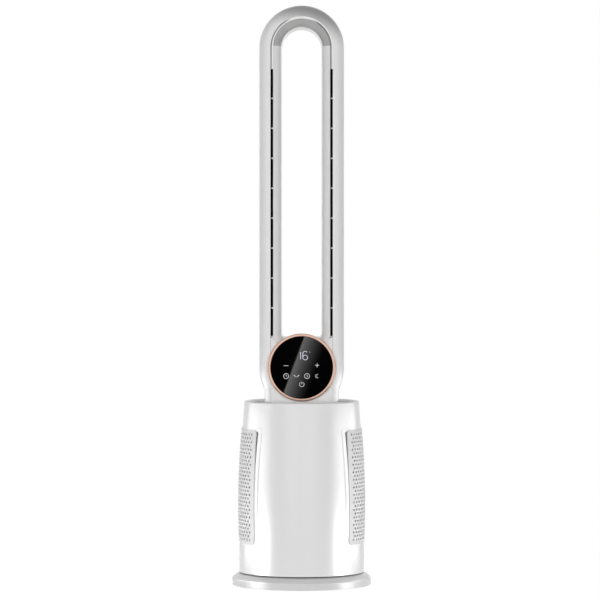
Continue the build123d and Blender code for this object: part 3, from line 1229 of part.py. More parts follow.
def nozzle_guide():
    """Dark channel behind the right-hand slots that narrows towards them."""
    near, far = STRIP_FRONT_Y + STRIP_THICK, STRIP_FRONT_Y + STRIP_THICK + GUIDE_DEPTH
    mouth, throat = SLOT_WIDTH / 2 + GUIDE_FLARE, SLOT_WIDTH / 2

    def funnel(grow, y0, y1):
        small, large = throat + grow, mouth + grow
        return make_face(Polyline((SLOT_CENTRE - small, y0), (SLOT_CENTRE + small, y0),
                                  (SLOT_CENTRE + large, y1), (SLOT_CENTRE - large, y1), close=True))

    low, high = SLOT_BOTTOM_Z, SLOT_BOTTOM_Z + SLOT_COUNT * SLOT_PITCH
    body = extrude(Pos(0, 0, low) * funnel(GUIDE_WALL, near, far), high - low)
    inside = extrude(Pos(0, 0, low + GUIDE_WALL) * funnel(0, near - 0.001, far + 0.001),
                     high - low - 2 * GUIDE_WALL)
    return body - inside


def cover_outline(lip, half_width):
    """Outline of a cover below the opening, cleared round the inner shell's lip."""
    low, high = COVER_BOTTOM_Z, COVER_TOP_Z
    sheet = Pos(0, (low + high) / 2) * Rectangle(2 * half_width, high - low)
    reach = lip - CORNER_X + FIT_GAP
    floor = CORNER_Z - reach
    cut_half = lip + FIT_GAP
    mouth = Pos(0, floor + BIG / 2) * Rectangle(2 * cut_half, BIG)
    mouth = fillet(mouth.vertices().group_by(Axis.Y)[0], reach)
    return sheet - mouth


def front_cover():
    """Flat panel that carries the display."""
    front, back = -LOOP_HALF_DEPTH, -COVER_INNER_Y
    outline = cover_outline(INNER_LIP, COVER_HALF_WIDTH)
    panel = plate_xz(outline, front, back)
    bore = Pos(0, 0, DISPLAY_Z) * Rot(90, 0, 0) * Cylinder(STUD_RADIUS + FIT_GAP, BIG)
    rib_top = CORNER_Z - (INNER_LIP - CORNER_X) - COVER_RIB_CLEAR
    rib_low = TAPER_BOTTOM_Z + SPIGOT_RISE + COVER_RIB_CLEAR / 2
    for side in (-1, 1):
        near, far = side * (COVER_HALF_WIDTH - COVER_RIB_INSET), side * COVER_RIB_THICK
        x0, x1 = sorted((near, near - far))
        panel += block(x0, x1, back - COVER_THICK / 2, back + COVER_RIB_DEPTH, rib_low, rib_top)
    return panel - bore


def rear_cover():
    """Flat panel at the back, held by four screws."""
    outline = cover_outline(SLOT_CENTRE - FIT_GAP / 2, COVER_HALF_WIDTH)
    panel = plate_xz(outline, COVER_INNER_Y, LOOP_HALF_DEPTH)
    return panel.cut(*rear_screw_holes())


def rear_screw_places():
    """Places of the rear cover's screws, in X and Z."""
    x = NECK_HALF_WIDTH - NECK_CORNER - REAR_SCREW_INSET
    low, high = COVER_BOTTOM_Z + REAR_SCREW_RISE, TAPER_BOTTOM_Z + SPIGOT_RISE - REAR_SCREW_DROP
    return [(sx * x, z) for sx in (-1, 1) for z in (low, high)]


def rear_screw_holes():
    """Tools for the holes of those screws, in the cover and in the neck's back."""
    tool = Rot(90, 0, 0) * Cylinder(SCREW_RADIUS + PILOT_GAP, 2 * REAR_SCREW_REACH)
    return [Pos(x, LOOP_HALF_DEPTH, z) * tool for x, z in rear_screw_places()]


def rear_screws():
    """Screws through the rear cover into the neck."""
    out = Rot(-90, 0, 0) * screw(COVER_THICK + FIT_GAP + NECK_WALL)
    return [Pos(x, LOOP_HALF_DEPTH, z) * out for x, z in rear_screw_places()]


# ---- display ---------------------------------------------------------------------------------
def facing_front(shape):
    """Stands a shape that was turned about Z on the front cover, in the middle of the display."""
    return Pos(0, -LOOP_HALF_DEPTH - FIT_GAP / 2, DISPLAY_Z) * Rot(90, 0, 0) * shape


def display_ring():
    """Plated ring round the display, resting on the front cover."""
    outer, inner = RING_RADIUS, GLASS_RADIUS + FIT_GAP / 2
    top, edge = RING_DEPTH, RING_EDGE
    seat, ledge = top - GLASS_SET_BACK - GLASS_THICK, inner - RING_LEDGE
    profile = Polyline((ledge, 0), (outer, 0), (outer, top - edge), (outer - edge, top), (inner, top),
                       (inner, seat), (ledge, seat), close=True)
    body = revolve(Plane.XZ * make_face(profile), Axis.Z, 360)
    body = fillet(body.edges().filter_by(lambda e: abs(e.center().Z - (top - edge)) < 0.01
                                         and e.radius > inner), RING_SOFTENING)
    return facing_front(body)


def display_glass():
    """Round dark touch glass."""
    low = RING_DEPTH - GLASS_SET_BACK - GLASS_THICK
    glass = ring(GLASS_RADIUS, 0, low, low + GLASS_THICK)
    glass = fillet(glass.edges().group_by(Axis.Z)[-1], GLASS_EDGE_ROUND)
    return facing_front(glass)


def display_housing():
    """Shallow cup behind the glass, with a hollow stud that sits in the front cover."""
    rim = GLASS_RADIUS - DISPLAY_WALL - FIT_GAP
    low = FIT_GAP / 2
    top = RING_DEPTH - GLASS_SET_BACK - GLASS_THICK - FIT_GAP / 2
    cup = ring(rim, 0, low, top) - ring(rim - DISPLAY_WALL, 0, low + DISPLAY_FLOOR, top + OVERCUT)
    cup += ring(STUD_RADIUS, 0, -STUD_LENGTH, low)
    tools = [ring(STUD_BORE, 0, -STUD_LENGTH - OVERCUT, low + DISPLAY_FLOOR + OVERCUT)]
    for x, y in display_screw_places():
        cup += drill(x, y, low, DISPLAY_BOARD_Z, POST_RADIUS)
        tools.append(drill(x, y, low + HOLE_SPARE, DISPLAY_BOARD_Z + OVERCUT, SCREW_RADIUS + PILOT_GAP))
    return facing_front(cup.cut(*tools))


def display_screw_places():
    """Places of the screws in the display's board, from the middle of the display."""
    return around(DISPLAY_SCREW_COUNT, DISPLAY_SCREW_RING, 45)


def display_board():
    """Round board with the lamps for the digits and keys."""
    board = ring(DISPLAY_BOARD_RADIUS, 0, DISPLAY_BOARD_Z, DISPLAY_BOARD_Z + DISPLAY_BOARD_THICK)
    for x, y in display_screw_places():
        board -= drill(x, y, 0, RING_DEPTH, SCREW_RADIUS + PILOT_GAP)
    return facing_front(board)


def display_screws():
    """Screws that hold the display's board."""
    z = DISPLAY_BOARD_Z + DISPLAY_BOARD_THICK
    return [facing_front(Pos(x, y, z) * screw(z - DISPLAY_SCREW_END)) for x, y in display_screw_places()]


def display_lens():
    """Clear light guide between the board and the glass."""
    low = DISPLAY_BOARD_Z + DISPLAY_BOARD_THICK
    high = RING_DEPTH - GLASS_SET_BACK - GLASS_THICK - FIT_GAP
    return facing_front(ring(DISPLAY_SCREW_RING - 2 * SCREW_HEAD_RADIUS, 0, low, high))


# ---- build and write -------------------------------------------------------------------------
def mirrored(shape):
    """The left-hand twin of a right-hand piece."""
    return shape.mirror(Plane.YZ)


def write(name, shape):
    """Writes one node, made of one solid or of several separate ones."""
    whole = Compound(children=[s for s in shape]) if isinstance(shape, list) else shape
    export_step(whole, f"parts/{name}.step")


def main():
    os.makedirs("parts", exist_ok=True)
    front, rear = housings()
    door, frame, pleats, seal = filter_door(), filter_frame(), filter_pleats(), filter_seal()
    guide = nozzle_guide()
    nodes = {
        "base_cover": base_cover(),
        "base_plate": base_plate(),
        "base_screws": base_screws(),
        "ballast_ring": ballast_ring(),
        "rubber_feet": rubber_feet(),
        "cord_gland": cord_gland(),
        "spindle_gear": spindle_gear(),
        "spindle_cap": spindle_cap(),
        "spindle_screws": gear_screws() + cap_screws(),
        "glide_ring": glide_ring(),
        "turntable": turntable(),
        "housing_screws": housing_screws(),
        "swing_motor": swing_motor(),
        "drive_pinion": drive_pinion(),
        "front_housing": front,
        "rear_housing": rear,
        "top_cover": top_cover(),
        "right_filter_door": door,
        "left_filter_door": mirrored(door),
        "right_filter_frame": frame,
        "left_filter_frame": mirrored(frame),
        "right_filter_pleats": pleats,
        "left_filter_pleats": mirrored(pleats),
        "right_filter_seal": seal,
        "left_filter_seal": mirrored(seal),
        "chassis": chassis(),
        "chassis_screws": chassis_screws() + motor_screws(),
        "fan_duct": fan_duct(),
        "inlet_guard": inlet_guard(),
        "impeller": impeller(),
        "impeller_nut": impeller_nut(),
        "motor_shaft": motor_shaft(),
        "motor_rotor": motor_rotor(),
        "motor_stator": motor_stator(),
        "motor_windings": motor_windings(),
        "motor_end_cap": motor_end_cap(),
        "diffuser": diffuser(),
        "bearing_inner_races": bearing_races(SHAFT_RADIUS + SEAT_GAP, SHAFT_RADIUS + BEARING_RACE),
        "bearing_outer_races": bearing_races(BEARING_RADIUS - BEARING_RACE, BEARING_RADIUS),
        "bearing_balls": bearing_balls(),
        "control_board": control_board(),
        "board_screws": board_screws(),
        "board_components": board_components(),
        "neck_seal": neck_seal(),
        "neck_screws": neck_screws(),
        "neck_tube": neck_tube(),
        "outer_shell": outer_shell(),
        "inner_shell": inner_shell(),
        "nozzle_strip": nozzle_strip(),
        "right_nozzle_guide": guide,
        "left_nozzle_guide": mirrored(guide),
        "front_cover": front_cover(),
        "rear_cover": rear_cover(),
        "rear_screws": rear_screws(),
        "display_ring": display_ring(),
        "display_glass": display_glass(),
        "display_housing": display_housing(),
        "display_board": display_board(),
        "display_screws": display_screws(),
        "display_lens": display_lens(),
    }
    for name, shape in nodes.items():
        write(name, shape)


if __name__ == "__main__":
    main()
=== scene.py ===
import math

import bmesh
import bpy
from mathutils import Matrix, Vector


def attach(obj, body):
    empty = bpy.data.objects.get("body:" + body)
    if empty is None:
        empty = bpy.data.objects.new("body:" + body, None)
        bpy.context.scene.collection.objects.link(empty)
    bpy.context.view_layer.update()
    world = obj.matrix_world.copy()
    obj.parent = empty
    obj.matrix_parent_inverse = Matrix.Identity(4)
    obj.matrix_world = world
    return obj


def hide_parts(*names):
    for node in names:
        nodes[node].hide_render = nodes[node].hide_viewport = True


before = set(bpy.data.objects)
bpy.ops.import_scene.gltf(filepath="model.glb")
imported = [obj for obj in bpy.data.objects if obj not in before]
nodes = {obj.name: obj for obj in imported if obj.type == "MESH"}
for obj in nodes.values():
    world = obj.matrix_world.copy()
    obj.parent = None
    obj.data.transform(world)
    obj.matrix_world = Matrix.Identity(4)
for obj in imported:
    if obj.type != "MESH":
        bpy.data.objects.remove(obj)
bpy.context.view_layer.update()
bpy.ops.object.select_all(action="DESELECT")


# ---- base cover ------------------------------------------------------------------------------
# The white disc that carries the fan: one glossy moulding, held from below by six screws.
# Its pigment drifts slightly over the disc, and the polished tool leaves a faint orange peel.
class Wire:
    """A socket in a finish, so that shader maths reads as a formula."""

    def __init__(self, socket):
        self.socket = socket

    def maths(self, operation, *values):
        tree = self.socket.id_data
        node = tree.nodes.new("ShaderNodeMath")
        node.operation = operation
        for pin, value in zip(node.inputs, values):
            if isinstance(value, Wire):
                tree.links.new(value.socket, pin)
            else:
                pin.default_value = value
        return Wire(node.outputs[0])

    def __add__(self, other):
        return self.maths("ADD", self, other)

    __radd__ = __add__

    def __sub__(self, other):
        return self.maths("SUBTRACT", self, other)

    def __rsub__(self, other):
        return self.maths("SUBTRACT", other, self)

    def __mul__(self, other):
        return self.maths("MULTIPLY", self, other)

    __rmul__ = __mul__

    def __truediv__(self, other):
        return self.maths("DIVIDE", self, other)

    def __pow__(self, other):
        return self.maths("POWER", self, other)

    def __gt__(self, other):
        return self.maths("GREATER_THAN", self, other)

    def __lt__(self, other):
        return self.maths("LESS_THAN", self, other)


class Finish:
    """One material: paint() fills its shader's sockets, and node() adds any other node."""

    def __init__(self, name):
        self.material = bpy.data.materials.new(name)
        self.material.use_nodes = True
        self.tree = self.material.node_tree
        self.shader = self.tree.nodes["Principled BSDF"]
        self.place = self.node("TexCoord", out="Object")

    def node(self, kind, settings=None, pins=None, out=0):
        node = self.tree.nodes.new("ShaderNode" + kind)
        for name, value in (settings or {}).items():
            if name == "stops":
                ramp = node.color_ramp.elements
                ramp[0].position, ramp[0].color = value[0]
                ramp[1].position, ramp[1].color = value[-1]
                for position, colour in value[1:-1]:
                    ramp.new(position).color = colour
            else:
                setattr(node, name, value)
        for pin, value in (pins or {}).items():
            self.join(node.inputs[pin], value)
        return Wire(node.outputs[out])

    def join(self, pin, value):
        if isinstance(value, Wire):
            self.tree.links.new(value.socket, pin)
        else:
            pin.default_value = value

    def paint(self, **values):
        for name, value in values.items():
            socket = name.replace("_", " ").title().replace("Ior", "IOR")
            self.join(self.shader.inputs[socket], value)
        return self

    def noise(self, scale, detail=2.0, place=None):
        pins = {"Vector": place or self.place, "Scale": scale, "Detail": detail}
        return self.node("TexNoise", {}, pins)

    def blend(self, share, first, second):
        """Mixes two colours."""
        return self.node("Mix", {"data_type": "RGBA"}, {0: share, 6: first, 7: second}, out=2)

    def bump(self, height, depth):
        """Normals of a relief that is depth metres deep."""
        return self.node("Bump", {}, {"Height": height, "Distance": depth, "Strength": 1.0})

    def axes(self, vector=None):
        """The x, y and z of the place on the object, or of another vector."""
        parts = self.node("SeparateXYZ", {}, {0: vector or self.place}).socket.node.outputs
        return [Wire(parts[k]) for k in range(3)]

    def eased(self, value, start, end):
        """0 before start and 1 past end, with a soft passage between them."""
        return self.node("MapRange", {"interpolation_type": "SMOOTHSTEP"},
                         {"Value": value, "From Min": start, "From Max": end})

    def stretched(self, x, y, z):
        """The place on the object, stretched so that a noise runs into streaks."""
        return self.node("Mapping", {}, {"Vector": self.place, "Scale": (x, y, z)})


def dress(finish, *names):
    """Gives CAD nodes a finish in their own material slots."""
    for name in names:
        for own in nodes[name].material_slots:
            own.material = finish.material


def grey(level, warmth=0.0):
    """A near-neutral colour."""
    return (level + warmth, level, level - warmth, 1.0)


def moulding(name, shade, light, gloss, relief, relief_scale):
    """Injection moulding: pigment and roughness that drift, and the texture of the tool."""
    finish = Finish(name)
    drift = finish.noise(7.0, 3.0)
    skin = finish.noise(relief_scale, 2.0)
    return finish.paint(
        base_color=finish.blend(drift, shade, light),
        roughness=drift * 0.08 + (gloss - 0.04),
        normal=finish.bump(skin, relief))


GLOSS = 0.5  # the weight of the clear coat on the gloss white mouldings


def gloss_white(name, level=0.86, blur=0.2):
    """White moulding from a polished tool, with its clear gloss, which blurs what it mirrors."""
    shade, light = grey(level - 0.012, 0.001), grey(level + 0.008, -0.001)
    finish = moulding(name, shade, light, 0.30, 0.00002, 420.0)
    return finish.paint(coat_weight=GLOSS, coat_roughness=blur)


# The base's white is a darker copy of the fan's gloss white: painted shade.
base_white = gloss_white("base_white", 0.68, 0.36)
dress(base_white, "base_cover")


# ---- base underside --------------------------------------------------------------------------
# A grey plate closes the base, with a cast ballast ring above it, five rubber feet and zinc-plated
# screws. The gland for the lead sits in the rim at the back.
plate_grey = moulding("plate_grey", grey(0.30), grey(0.34), 0.58, 0.00006, 1400.0)
dress(plate_grey, "base_plate")

foot_rubber = moulding("foot_rubber", grey(0.045), grey(0.07), 0.86, 0.00009, 900.0)
dress(foot_rubber, "rubber_feet")

gland_black = moulding("gland_black", grey(0.03), grey(0.045), 0.5, 0.00004, 1600.0)
dress(gland_black, "cord_gland")

cast_iron = Finish("cast_iron")
pits = cast_iron.noise(260.0, 6.0)
scale_patches = cast_iron.noise(24.0, 4.0)
cast_iron.paint(
    base_color=cast_iron.blend(scale_patches, grey(0.10, 0.006), grey(0.22, 0.003)),
    metallic=0.6, roughness=pits * 0.3 + 0.55, normal=cast_iron.bump(pits, 0.0005))
dress(cast_iron, "ballast_ring")


def metal(name, dark, bright, roughness, streaks, relief):
    """Bare metal: streaks of the last tool that passed over it, in colour, gloss and relief."""
    finish = Finish(name)
    grain = finish.noise(1.0, 3.0, finish.stretched(*streaks))
    return finish.paint(
        base_color=finish.blend(grain, dark, bright), metallic=1.0,
        roughness=grain * 0.16 + (roughness - 0.08), normal=finish.bump(grain, relief))


screw_zinc = metal("screw_zinc", grey(0.50), grey(0.66), 0.34, (900.0, 900.0, 120.0), 0.00003)
dress(screw_zinc, "base_screws", "spindle_screws", "housing_screws", "chassis_screws",
      "board_screws", "neck_screws", "rear_screws", "display_screws")


# ---- swing drive -----------------------------------------------------------------------------
# Acetal gears and slide ring, unpainted, slightly waxy. The pinion turns on the geared motor, a
# drawn steel can screwed to the grey floor of the tower.
acetal = moulding("acetal", grey(0.84, 0.012), grey(0.90, 0.008), 0.42, 0.00003, 700.0)
acetal.paint(subsurface_weight=0.15, subsurface_scale=0.002)
dress(acetal, "spindle_gear", "spindle_cap", "glide_ring", "drive_pinion")

floor_grey = moulding("floor_grey", grey(0.31), grey(0.35), 0.55, 0.00006, 1300.0)
dress(floor_grey, "turntable")

drawn_steel = metal("drawn_steel", grey(0.40), grey(0.55), 0.36, (60.0, 60.0, 1500.0), 0.00003)
dress(drawn_steel, "swing_motor", "motor_rotor")


# ---- drum housing ----------------------------------------------------------------------------
# Front and rear housing meet behind the side doors and clasp the sunk top cover. All three are
# glossy white mouldings of the same resin.
housing_white = gloss_white("housing_white", 0.80, 0.36)
dress(housing_white, "front_housing", "rear_housing")
lid_white = gloss_white("lid_white", 0.84)
dress(lid_white, "top_cover")


# ---- filter doors ----------------------------------------------------------------------------
# One barrel-shaped panel on each side, with 29 staggered rows of round air holes. A skirt behind
# its edge plugs into the window, and the door is pulled off by hand.
MM = 0.001  # the sizes of doors, filters and seals are in millimetres
DOOR_RADIUS = 118.7  # of the barrel where it is fullest
DOOR_FULL_Z = 150.0
DOOR_ARC = 1626.0  # radius of the barrel's side
DOOR_HALF_WIDTH = 78.6
DOOR_LOW = 80.4
DOOR_HIGH = 292.6
DOOR_CORNER = 7.0
DOOR_WALL = 2.2
DOOR_LAP = 3.0  # from the panel's edge to the skirt
SKIRT_WALL = 2.0
SKIRT_REACH = 10.2  # inwards from the panel's face
HOLE_RADIUS = 2.15
HOLE_INNER_RADIUS = 2.9  # the holes widen inwards, so that the tool lets go
HOLE_MARGIN = 0.2  # a point this near a hole's rim belongs to it
HOLE_ROWS = 29
HOLE_COLUMNS = 16  # in every second row, and one less in the rows between
ROW_PITCH = 6.96
COLUMN_PITCH = math.radians(4.7) * DOOR_RADIUS
DOOR_MIDDLE = (DOOR_LOW + DOOR_HIGH) / 2
NEARLY = 0.01  # closer than this counts as the same place
RIM_POINTS = 16  # round each hole, and round the cell that it stands in


def on_drum(radius, angle, z):
    """A point in metres, from its millimetres off and up the drum's axis."""
    return Vector((radius * math.cos(angle), radius * math.sin(angle), z)) * MM


def bent(run, rise, depth):
    """A point of the flat door on the barrel: run along the girth, rise from its middle."""
    z = DOOR_MIDDLE + rise
    radius = DOOR_RADIUS - (DOOR_ARC - math.sqrt(DOOR_ARC ** 2 - (z - DOOR_FULL_Z) ** 2)) - depth
    return on_drum(radius, run / DOOR_RADIUS, z)


def door_edge(share, on_top, inset):
    """A point of the outline: share goes from 0 in a side's middle to 1 in the corner's."""
    half, high = DOOR_HALF_WIDTH - inset, (DOOR_HIGH - DOOR_LOW) / 2 - inset
    corner = DOOR_CORNER - inset
    straight = (half if on_top else high) - corner
    run = share * (straight + corner * math.pi / 4)
    turn = max(0.0, run - straight) / corner
    along = min(run, straight) + corner * math.sin(turn)
    back = corner * (1 - math.cos(turn))
    y, rise = (along, high - back) if on_top else (half - back, along)
    return math.asin(y / DOOR_RADIUS) * DOOR_RADIUS, rise


def only(piece):
    """Selects one piece, and nothing else."""
    bpy.ops.object.select_all(action="DESELECT")
    piece.select_set(True)
    bpy.context.view_layer.objects.active = piece


def choose(piece, kind, test):
    """Selects, in edit mode, the piece's vertices, edges or faces that pass a test."""
    bpy.ops.mesh.select_mode(type={"verts": "VERT", "edges": "EDGE", "faces": "FACE"}[kind])
    bpy.ops.mesh.select_all(action="DESELECT")
    mesh = bmesh.from_edit_mesh(piece.data)
    for element in getattr(mesh, kind):
        if test(element):
            element.select_set(True)
    mesh.select_flush_mode()
    bmesh.update_edit_mesh(piece.data)


def modify(piece, kind, **settings):
    """Adds a modifier and applies it."""
    only(piece)
    modifier = piece.modifiers.new(kind.lower(), kind)
    for name, value in settings.items():
        setattr(modifier, name, value)
    bpy.ops.object.modifier_apply(modifier=modifier.name)


def joined(name, *pieces):
    """Joins pieces into the first one and names it."""
    bpy.ops.object.select_all(action="DESELECT")
    for piece in pieces:
        piece.select_set(True)
    bpy.context.view_layer.objects.active = pieces[0]
    bpy.ops.object.join()
    pieces[0].name = pieces[0].data.name = name
    return pieces[0]


def settle(piece):
    """Puts the piece's place into its mesh, so that its object stands at the origin, unturned."""
    only(piece)
    bpy.ops.object.transform_apply(location=True, rotation=True, scale=True)


def smoothed(piece, degrees):
    """Shades the piece smooth, apart from edges that turn by more than this."""
    only(piece)
    bpy.ops.object.shade_smooth_by_angle(angle=math.radians(degrees))


def coloured(piece, finish):
    """Gives a new piece its one finish."""
    piece.data.materials.clear()
    piece.data.materials.append(finish.material)


def in_scene(name, data):
    """A new object made of this mesh, curve, lamp or lens."""
    thing = bpy.data.objects.new(name, data)
    bpy.context.scene.collection.objects.link(thing)
    return thing


def mirrored(piece):
    """The same piece for the left side, with its own mesh."""
    twin = in_scene(piece.name.replace("right", "left"), piece.data.copy())
    twin.data.name = twin.name
    twin.data.transform(Matrix.Diagonal((-1, 1, 1, 1)))
    twin.data.flip_normals()
    return twin


def hole_cell():
    """One round hole in its own oblong cell, flat."""
    bpy.ops.mesh.primitive_circle_add(vertices=RIM_POINTS, radius=HOLE_RADIUS, fill_type="NOTHING")
    cell = bpy.context.object
    bpy.ops.object.mode_set(mode="EDIT")
    bpy.ops.mesh.select_all(action="SELECT")
    bpy.ops.mesh.extrude_edges_move()
    mesh = bmesh.from_edit_mesh(cell.data)
    per_side = RIM_POINTS // 4
    for vert in mesh.verts:
        if vert.select:
            turn = round(math.atan2(vert.co.y, vert.co.x) / math.tau * RIM_POINTS) % RIM_POINTS
            side, step = divmod(turn + per_side // 2, per_side)
            along = step / per_side - 0.5
            corner = ((0.5, along), (-along, 0.5), (-0.5, -along), (along, -0.5))[side % 4]
            vert.co = (corner[0] * COLUMN_PITCH, corner[1] * ROW_PITCH, 0)
    bmesh.update_edit_mesh(cell.data)
    bpy.ops.object.mode_set(mode="OBJECT")
    return cell


def repeated(cell, count, step):
    """Repeats a cell count times, each a step further."""
    modify(cell, "ARRAY", count=count, use_relative_offset=False, use_constant_offset=True,
           constant_offset_displace=step)


def tiled(cell, columns, rows, x, y):
    """Repeats a cell in columns and in every second row, starting at x, y."""
    cell.location = (x, y, 0)
    settle(cell)
    repeated(cell, columns, (COLUMN_PITCH, 0, 0))
    repeated(cell, rows, (0, 2 * ROW_PITCH, 0))
    return cell


def row_end(side):
    """The plain half cells that fill the shorter rows at one side."""
    x = side * (HOLE_COLUMNS - 0.5) / 2 * COLUMN_PITCH
    y = -(HOLE_ROWS // 2 - 1) * ROW_PITCH
    bpy.ops.mesh.primitive_grid_add(x_subdivisions=2, y_subdivisions=4, size=1)
    end = bpy.context.object
    end.scale = (COLUMN_PITCH / 2, ROW_PITCH, 1)
    settle(end)
    return tiled(end, 1, HOLE_ROWS // 2, x, y)


def door_panel():
    """The perforated sheet with its border, wrapped on the barrel and thickened."""
    half_run, half_rise = HOLE_COLUMNS / 2 * COLUMN_PITCH, HOLE_ROWS / 2 * ROW_PITCH
    first_x, first_y = (0.5 - HOLE_COLUMNS / 2) * COLUMN_PITCH, -(HOLE_ROWS // 2) * ROW_PITCH
    panel = joined(
        "panel",
        tiled(hole_cell(), HOLE_COLUMNS, HOLE_ROWS // 2 + 1, first_x, first_y),
        tiled(hole_cell(), HOLE_COLUMNS - 1, HOLE_ROWS // 2,
              first_x + COLUMN_PITCH / 2, first_y + ROW_PITCH),
        row_end(-1), row_end(1))
    bpy.ops.object.mode_set(mode="EDIT")
    bpy.ops.mesh.select_all(action="SELECT")
    bpy.ops.mesh.remove_doubles(threshold=NEARLY)

    def on_border(vert):
        return abs(vert.co.x) > half_run - NEARLY or abs(vert.co.y) > half_rise - NEARLY

    choose(panel, "edges", lambda edge: edge.is_boundary and all(on_border(v) for v in edge.verts))
    bpy.ops.mesh.extrude_edges_move()
    mesh = bmesh.from_edit_mesh(panel.data)
    for vert in mesh.verts:
        if vert.select:
            x, y = abs(vert.co.x), abs(vert.co.y)
            on_top = y > half_rise - NEARLY
            run, rise = door_edge(x / half_run if on_top else y / half_rise, on_top, 0.0)
            vert.co = (math.copysign(run, vert.co.x), math.copysign(rise, vert.co.y), 0)
    for vert in mesh.verts:
        vert.co = bent(vert.co.x, vert.co.y, 0.0)
    bmesh.update_edit_mesh(panel.data)
    bpy.ops.mesh.select_all(action="SELECT")
    bpy.ops.mesh.normals_make_consistent(inside=False)
    bpy.ops.object.mode_set(mode="OBJECT")
    if sum(face.normal.x * face.area for face in panel.data.polygons) < 0:
        panel.data.flip_normals()
    modify(panel, "SOLIDIFY", thickness=DOOR_WALL * MM, offset=-1, use_even_offset=True)
    for vert in panel.data.vertices:
        run, rise = math.atan2(vert.co.y, vert.co.x) * DOOR_RADIUS, vert.co.z / MM - DOOR_MIDDLE
        row = round(rise / ROW_PITCH)
        shift = 0.0 if row % 2 else 0.5
        column = round(run / COLUMN_PITCH - shift) + shift
        away = Vector((run - column * COLUMN_PITCH, rise - row * ROW_PITCH))
        inside = (bent(run, rise, 0.0) - vert.co).length > DOOR_WALL / 2 * MM
        if inside and abs(away.length - HOLE_RADIUS) < HOLE_MARGIN:
            away *= HOLE_INNER_RADIUS / away.length
            vert.co = bent(column * COLUMN_PITCH + away.x, row * ROW_PITCH + away.y, DOOR_WALL)
    return panel


def door_skirt():
    """The band behind the panel's edge that plugs into the window."""
    bpy.ops.mesh.primitive_circle_add(vertices=8 * RIM_POINTS, radius=1.0, fill_type="NOTHING")
    skirt = bpy.context.object
    bpy.ops.object.mode_set(mode="EDIT")
    bpy.ops.mesh.select_all(action="SELECT")
    mesh = bmesh.from_edit_mesh(skirt.data)
    eighth = math.pi / 4
    for vert in mesh.verts:
        turn = math.atan2(abs(vert.co.y), abs(vert.co.x))
        on_top = turn > eighth
        share = (math.pi / 2 - turn) / eighth if on_top else turn / eighth
        run, rise = door_edge(share, on_top, DOOR_LAP)
        run, rise = math.copysign(run, vert.co.x), math.copysign(rise, vert.co.y)
        vert.co = bent(run, rise, DOOR_WALL / 2)
    bmesh.update_edit_mesh(skirt.data)
    bpy.ops.mesh.extrude_edges_move()
    mesh = bmesh.from_edit_mesh(skirt.data)
    for vert in mesh.verts:
        if vert.select:
            outwards = Vector((vert.co.x, vert.co.y, 0)).normalized()
            vert.co -= outwards * (SKIRT_REACH - DOOR_WALL / 2) * MM
    bmesh.update_edit_mesh(skirt.data)
    bpy.ops.mesh.select_all(action="SELECT")
    bpy.ops.mesh.normals_make_consistent(inside=False)
    bpy.ops.object.mode_set(mode="OBJECT")
    modify(skirt, "SOLIDIFY", thickness=SKIRT_WALL * MM, offset=-1, use_even_offset=True)
    return skirt


door_white = moulding("door_white", grey(0.77), grey(0.80), 0.6, 0.00004, 900.0)
right_door = joined("right_door_panel", door_panel(), door_skirt())
smoothed(right_door, 30)
coloured(right_door, door_white)
for piece, side in ((right_door, "right"), (mirrored(right_door), "left")):
    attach(piece, side + "_door")
    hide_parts(side + "_filter_door")


# ---- filters ---------------------------------------------------------------------------------
# Two card frames. Each holds a long sheet of white paper in 34 pleats, with a black felt that
# catches the lint glued on its outer tips and beads of glue that space the inner ones. Foam seals
# its back.
PLEATS = 34
PLEAT_NEAR, PLEAT_FAR = 86.15, 107.35
PLEAT_HALF_TURN = math.radians(33.7)
FILTER_LOW, FILTER_HIGH = 88.9, 284.1
PAPER = 0.4
FELT_RADIUS, FELT = 107.95, 0.5
FOAM_NEAR, FOAM_FAR = 83.75, 84.95
FOAM_HALF_TURN = math.radians(35.9)
FOAM_LOW, FOAM_HIGH, FOAM_WIDTH = 85.8, 287.2, 5.4
FOAM_STEPS = (30, 40)  # faces round the girth and up the height, before the window is cut
FOAM_ROUND = 0.4
PAPER_ROWS, FELT_ROWS, FELT_STEPS = 14, 40, 60
TIP_DEPTH, TIP_SHARE = 0.5, 0.45  # of a fold's round tip, the second as a share of half a leg
LEANS = ((0.35, 0.06, 1.7), (0.2, 0.19, 0.9))  # waves, each as ripple() takes it
DENT, FELT_WAVE = (0.15, 0.11, 2.3), (0.06, 0.7, 1.9)
GLUE_LEVELS = (120.0, 153.0, 186.5, 220.0, 253.0)
GLUE_RADIUS, GLUE_NEAR, GLUE_WAVE = 0.45, PLEAT_NEAR - 0.05, 0.35
GLUE_SAG, GLUE_SHARE = 0.3, 0.97  # the second is the glued part of the filter's arc

card = moulding("filter_card", grey(0.80), grey(0.86), 0.7, 0.00008, 900.0)
dress(card, "right_filter_frame", "left_filter_frame")

paper = Finish("filter_paper")
fibres = paper.noise(1.0, 5.0, paper.stretched(2600.0, 2600.0, 500.0))
clouds = paper.noise(60.0, 3.0)
paper.paint(
    base_color=paper.blend(clouds, grey(0.80, 0.008), grey(0.90, 0.004)), roughness=0.95,
    normal=paper.bump(fibres, 0.00012))

felt = Finish("lint_felt")
hairs = felt.noise(1400.0, 6.0)
felt.paint(base_color=felt.blend(hairs, grey(0.006), grey(0.03)), roughness=0.97,
           normal=felt.bump(hairs, 0.0003))

glue = Finish("pleat_glue")
beads = glue.noise(900.0, 2.0)
glue.paint(base_color=glue.blend(beads, grey(0.72, 0.02), grey(0.82, 0.02)), roughness=0.3,
           normal=glue.bump(beads, 0.0001))

foam = Finish("seal_foam")
cells = foam.node("TexVoronoi", {}, {"Vector": foam.place, "Scale": 1100.0})
foam.paint(base_color=foam.blend(cells, grey(0.035), grey(0.12)), roughness=0.95,
           normal=foam.bump(cells, 0.0004))


